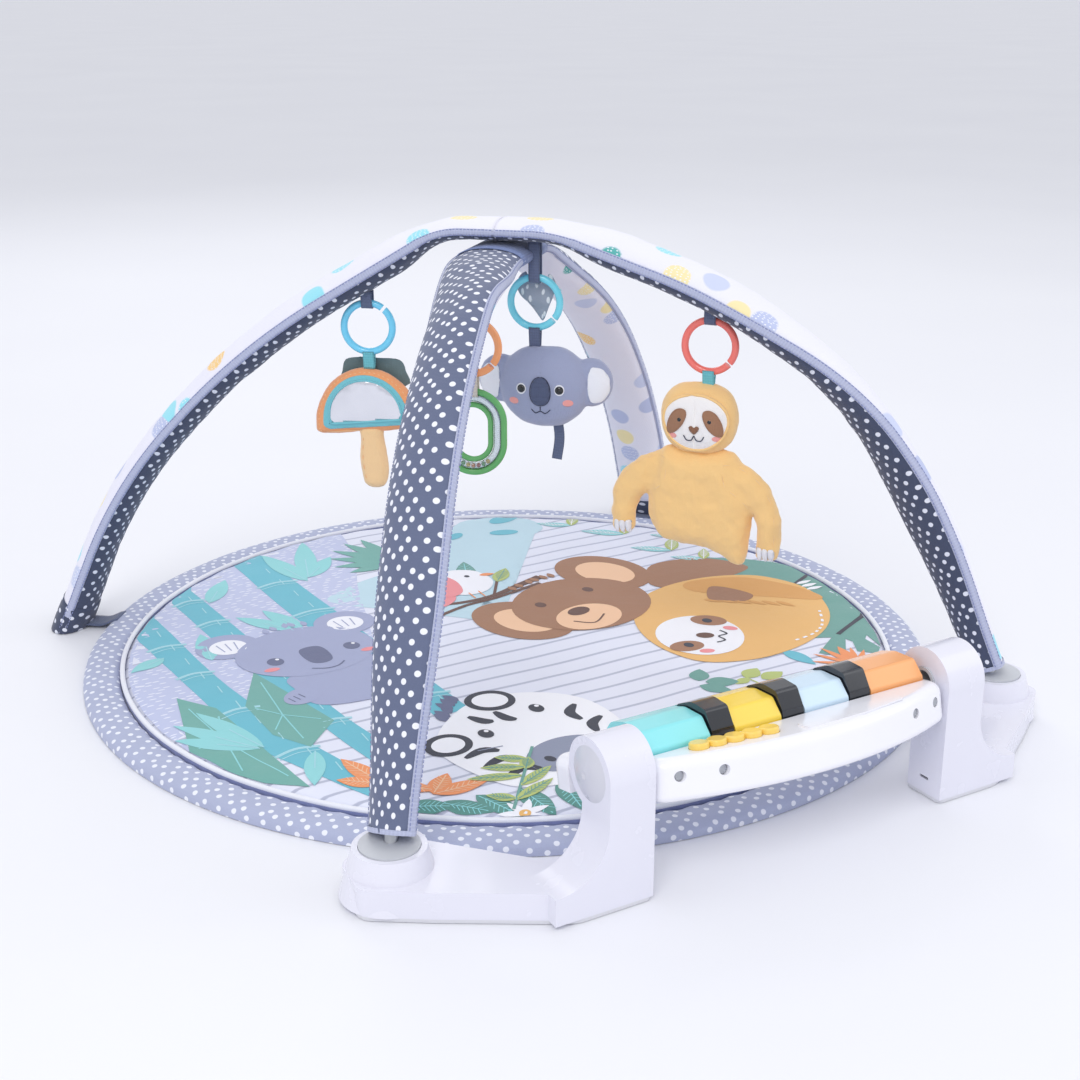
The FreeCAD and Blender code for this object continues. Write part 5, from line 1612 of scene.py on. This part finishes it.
# the ring rattle
at = places["rattle"]
rattle_path = []
for k in range(10):
    a = math.pi * (1 - k / 9)
    rattle_path.append(at.at(0, 5.0 * math.cos(a), low_wire + 5.0 * math.sin(a)))
for k in range(1, 6):
    rattle_path.append(at.at(0, 5.0, low_wire - 16.6 * k / 6))
for k in range(10):
    a = -math.pi * k / 9
    rattle_path.append(at.at(0, 5.0 * math.cos(a), -41.0 + 5.0 * math.sin(a)))
for k in range(1, 6):
    rattle_path.append(at.at(0, -5.0, -41.0 + 16.6 * k / 6))
tape("rattle_ring_strap", rattle_path, at.x.copy(), 0.011, 0.0011, beige_webbing, "rattle", "rattle_strap",
     ["rattle_strap"], closed=True)
bead_colours = [plastic("bead_orange", "F5914A", 0.2, 0.4), plastic("bead_yellow", "F8CF4B", 0.2, 0.4),
                plastic("bead_green", "5FB86B", 0.2, 0.4), plastic("bead_red", "E8685F", 0.2, 0.4)]
for k in range(-3, 4):
    turn = math.radians(12.5 * k)
    spot = at.at(22.8 * math.sin(turn), 0, -79.5 - 9.5 - 22.8 * math.cos(turn))
    verts, faces = [], []
    rows, around = 13, 24
    for i in range(rows):
        t = math.pi * i / (rows - 1)
        ridge = 2.2 - 0.12 * math.exp(-((t - math.pi / 2) / 0.12) ** 2)
        for j in range(around):
            a = 2 * math.pi * j / around
            verts.append(spot + Vector((math.sin(t) * math.cos(a), math.sin(t) * math.sin(a), math.cos(t)))
                         * (ridge * mm))
    for i in range(rows - 1):
        for j in range(around):
            n = (j + 1) % around
            faces.append((i * around + j, i * around + n, (i + 1) * around + n, (i + 1) * around + j))
    bead = mesh_object("rattle_bead_%d" % (k + 4), verts, faces, bead_colours[(k * 3) % 4])
    put(bead, "beads", "rattle_beads", ["rattle_beads"])

# the sloth
at = places["sloth"]
body_line = smooth_line([(-40, -101), (-20, -100), (4, -100), (24, -102), (38, -116), (46, -138),
                         (47.5, -165), (46, -190), (43, -208), (37, -216), (26, -211), (10, -203),
                         (-6, -200.5), (-24, -199), (-40, -196), (-51, -185), (-57, -162), (-54, -135),
                         (-48, -114)], 4)
right_line = smooth_line([(12, -108), (30, -110), (50, -119), (66, -136), (75, -158), (77, -180),
                          (75, -202), (70, -207), (58, -207), (53, -203), (53.5, -186), (52, -169),
                          (44, -153), (30, -140), (16, -130)], 4)
left_line = smooth_line([(-30, -107), (-46, -107), (-64, -114), (-80, -126), (-91, -146), (-94.5, -168),
                         (-93, -188), (-88, -194.5), (-75, -195), (-70, -190), (-70, -174), (-66, -160),
                         (-56, -149), (-42, -142), (-30, -130)], 4)
body = stuffed("sloth_stuffed_body", at, [(body_line[::-1], 15.6, 24, 0), (right_line[::-1], 10.5, 13, -3),
                                          (left_line[::-1], 10.5, 13, 1)], 0.0022, [yellow_cloth], 2.6, 6.0,
               9)
put(body, "sloth", "sloth_body", ["sloth_body"])
head_shape = smooth_line([(-8, -36), (10, -38), (24, -48), (30.5, -66), (28, -86), (16, -101), (-8, -107),
                          (-32, -101), (-43, -86), (-46, -66), (-40, -48), (-26, -38)], 4)
head = stuffed("sloth_stuffed_head", at, [(head_shape[::-1], 19.2, 30, 0)], 0.0018,
               [yellow_cloth, face_white], 0.9, 7.0, 8)
put(head, "sloth", "sloth_head", ["sloth_head"])
head_tree = tree_of(head)
body_tree = tree_of(body)
extras = []
face = smooth_line([(-8, -46), (8, -49), (20, -59), (23, -73), (16, -88), (1, -98), (-17, -98), (-32, -88),
                    (-39, -73), (-36, -59), (-24, -49)], 4)[::-1]
extras.append(patch("sloth_face", at, head_tree, face, face_white, 0.9, 0.9))
extras.append(thread("sloth_hood_rim", at, head_tree, face + face[:1], 1.5, yellow_cloth, 1.0))
for side in (-1, 1):
    cx = -8 + side * 13
    shape = smooth_line([(cx - side * 5, -62), (cx + side * 1, -59), (cx + side * 8, -63),
                         (cx + side * 13, -73), (cx + side * 13, -83), (cx + side * 6, -82),
                         (cx - side * 2, -73)], 4)
    extras.append(patch("sloth_eye_patch_%d" % side, at, head_tree, shape if side < 0 else shape[::-1],
                        patch_brown, 1.5, 0.6))
    extras.append(thread("sloth_patch_edge_%d" % side, at, head_tree, shape + shape[:1], 0.4, patch_brown,
                         1.5))
    extras.append(bead_eye("sloth_eye_%d" % side, at, head_tree, cx + side * 1.5, -69.5, 2.7, eye_black,
                           0.9))
    extras.append(patch("sloth_cheek_%d" % side, at, head_tree,
                        oval_points(cx + side * 8, -86, 8, 5, 18)[::-1], cheek_pink, 1.2, 0.4))
nose_shape = smooth_line([(-13, -76), (-10.4, -74.4), (-8, -75.8), (-5.6, -74.4), (-3, -76), (-4.4, -79.8),
                          (-8, -82.6), (-11.6, -79.8)], 4)
extras.append(patch("sloth_nose", at, head_tree, nose_shape, ear_brown, 1.4, 0.7, dome=1.6))
grin = smooth_line([(-18, -84), (-15, -88.6), (-10.5, -88.4), (-8, -84.4), (-5.5, -88.4), (-1, -88.6),
                    (2, -84)], 8, closed=False)
extras.append(thread("sloth_smile", at, head_tree, grin, 0.55, dark_thread, 1.25))
with_parent(head, *extras)
extras = []
for line, hand in ((right_line, "right"), (left_line, "left")):
    low = min(p[1] for p in line)
    tips = [p for p in line if p[1] < low + 4]
    cx = sum(p[0] for p in tips) / len(tips)
    for k in (-1, 0, 1):
        x = cx + 5.4 * k
        claw = smooth_line([(x - 2.3, low + 15), (x + 2.3, low + 15), (x + 2.5, low + 6),
                            (x + 0.3, low + 1.5), (x - 2.2, low + 6)], 4)
        extras.append(patch("sloth_claw_%s_%d" % (hand, k), at, body_tree, claw, claw_white, 0.5, 0.7,
                            dome=1.4))
    middle_x = sum(p[0] for p in line) / len(line)
    middle_z = sum(p[1] for p in line) / len(line)
    inner = [(middle_x + (x - middle_x) * 0.8, middle_z + (z - middle_z) * 0.9) for x, z in line]
    extras.append(thread("sloth_arm_stitches_" + hand, at, body_tree, inner, 0.35, peach_cloth, 0.1,
                         gap=1.0))
with_parent(body, *extras)
strap_loop("sloth_ring_strap", at, low_wire, False, 0.011, teal_webbing, "sloth", "sloth_strap", -39.0)

# loops that hang the rings from the arches
loop_legs = {"mushroom": ("rear_left", slate_webbing), "koala": ("front_right", slate_webbing),
             "rattle": ("front_left", slate_webbing), "sloth": ("front_right", slate_webbing)}
arch_verts, arch_faces = [], []
for obj in [o for o in bpy.data.objects
            if o.name.startswith("arch_sleeve_") or o.name == "crossing_sleeve_band"]:
    base = len(arch_verts)
    arch_verts += [v.co.copy() for v in obj.data.vertices]
    arch_faces += [tuple(base + i for i in p.vertices) for p in obj.data.polygons]
arch_tree = BVHTree.FromPolygons(arch_verts, arch_faces)
for name, (leg, cloth) in loop_legs.items():
    at = places[name]
    centre = 24.4
    start = at.at(0, 0, centre)
    spot, normal, _, _ = arch_tree.ray_cast(start, Vector((0, 0, 1)), 0.2)
    top = (spot.z - start.z) / mm + centre + 2.5 if spot is not None else centre + 12
    path = []
    for k in range(6):
        t = k / 6
        path.append(at.at(0, 5.0, top + (centre - top) * t))
    for k in range(13):
        a = math.pi * k / 12
        path.append(at.at(0, 5.0 * math.cos(a), centre - 5.0 * math.sin(a)))
    for k in range(1, 7):
        t = k / 6
        path.append(at.at(0, -5.0, centre + (top - centre) * t))
    tape("arch_loop_" + name, path, at.x.copy(), 0.011, 0.0012, cloth, "gym", "toy_loops", ["toy_loops"])


# ---------------------------------------------------------------- plastics and the rest of the CAD pieces
clear = Paint("clear_tube", Transmission_Weight=0.92, IOR=1.45, Roughness=0.08)
clear.to(clear.add("MapRange", Value=clear.noise(clear.coords(), 60.0), i3=0.04, i4=0.12).outputs["Result"],
         "Roughness")
clear.to(clear.mix(clear.noise(clear.coords(), 20.0), rgb("F2F6F8"), rgb("E6EEF2")), "Base_Color")
steel = metal("zinc_steel", "B9BCC2")
board_green = plastic("board_green", "2F6B4A", 0.5, 0.0, grain=0.2)
finishes = {"rod_front_right": steel, "rod_rear_left": steel, "rod_front_left": steel,
            "rod_rear_right": steel, "rod_connectors": dark_plastic, "rod_foot_caps": dark_plastic,
            "leg_ferrules": grey_plastic, "bracket_right": bracket_plastic, "bracket_left": bracket_plastic,
            "bracket_base_plates": plastic("base_plate", "D6D7DE", 0.4, 0.0, grain=0.15),
            "hub_caps": silver_plastic, "bracket_screws": steel,
            "foot_pads": plastic("pad_rubber", "4A4C55", 0.7, 0.0, grain=0.3),
            "piano_top_shell": white_plastic, "piano_bottom_shell": white_plastic,
            "key_aqua": plastic("key_aqua_plastic", "8DE7EC", 0.22, 0.35),
            "key_yellow": plastic("key_yellow_plastic", "FAD84E", 0.22, 0.35),
            "key_blue": plastic("key_blue_plastic", "CFE6F8", 0.22, 0.35),
            "key_orange": plastic("key_orange_plastic", "FCB170", 0.22, 0.35), "key_black_1": black_plastic,
            "key_black_2": black_plastic, "key_black_3": black_plastic,
            "contact_strip": plastic("contact_silicone", "B9BBC2", 0.6, 0.0), "circuit_board": board_green,
            "speaker": dark_plastic, "batteries": metal("cell_wrap", "C2A35A"),
            "battery_door": white_plastic, "power_switch": dark_plastic, "piano_screws": steel,
            "pivot_hubs": grey_plastic, "link_ring_mushroom": plastic("ring_aqua", "74D3F6", 0.2, 0.4),
            "link_ring_koala": plastic("ring_aqua_2", "7ADCF0", 0.2, 0.4),
            "link_ring_rattle": plastic("ring_orange", "F9A46B", 0.2, 0.4),
            "link_ring_sloth": plastic("ring_coral", "F7796F", 0.2, 0.4),
            "rattle_rings": plastic("rattle_green", "63B266", 0.2, 0.4), "rattle_tube": clear.mat,
            "strip_button": plastic("strip_yellow", "FBD568", 0.22, 0.35), }
for node, material in finishes.items():
    mesh = nodes[node].data
    mesh.materials.clear()
    mesh.materials.append(material)


# ---------------------------------------------------------------- stage, light and camera
def stage_floor():
    p = Paint("studio_floor")
    where = p.coords("Object")
    p.to(p.mix(p.noise(where, 1.2, 2.0), rgb("E9EAF0"), rgb("EFF0F5")), "Base_Color")
    p.to(p.add("MapRange", Value=p.noise(where, 40.0), i3=0.55, i4=0.7).outputs["Result"], "Roughness")
    floor = mesh_object("studio_floor", [(-60, -60, 0), (60, -60, 0), (60, 60, 0), (-60, 60, 0)],
                        [(0, 1, 2, 3)], p.mat, smooth=False)


def area_light(name, place, aim, size, energy, colour):
    data = bpy.data.lights.new(name, "AREA")
    data.shape = "DISK"
    data.size = size
    data.energy = energy
    data.color = colour
    obj = bpy.data.objects.new(name, data)
    bpy.context.scene.collection.objects.link(obj)
    obj.location = place
    obj.rotation_euler = (Vector(aim) - Vector(place)).to_track_quat("-Z", "Y").to_euler()


stage_floor()
area_light("key_light", (-1.7, -1.9, 2.6), (0, 0, 0.15), 1.6, 33.0, (1.0, 0.985, 0.96))
area_light("fill_light", (2.2, -1.3, 1.9), (0, 0, 0.15), 2.2, 12.0, (0.95, 0.97, 1.0))
area_light("back_light", (0.6, 2.6, 2.3), (0, 0, 0.2), 2.0, 16.0, (1.0, 1.0, 1.0))
world = bpy.context.scene.world or bpy.data.worlds.new("studio_world")
bpy.context.scene.world = world
world.use_nodes = True
background = next(n for n in world.node_tree.nodes if n.type == "BACKGROUND")
background.inputs["Color"].default_value = (0.93, 0.94, 0.98, 1.0)
background.inputs["Strength"].default_value = 0.86

bpy.context.scene.view_settings.view_transform = "Standard"

camera_data = bpy.data.cameras.new("photo_view")
camera_data.lens = 53.33
camera_data.sensor_width = 36.0
camera = bpy.data.objects.new("photo_view", camera_data)
bpy.context.scene.collection.objects.link(camera)
camera.location = (-0.755, -1.30657, 0.659)
camera.rotation_euler = (math.radians(90 - 19.31), 0, math.radians(-30.47))
bpy.context.scene.camera = camera
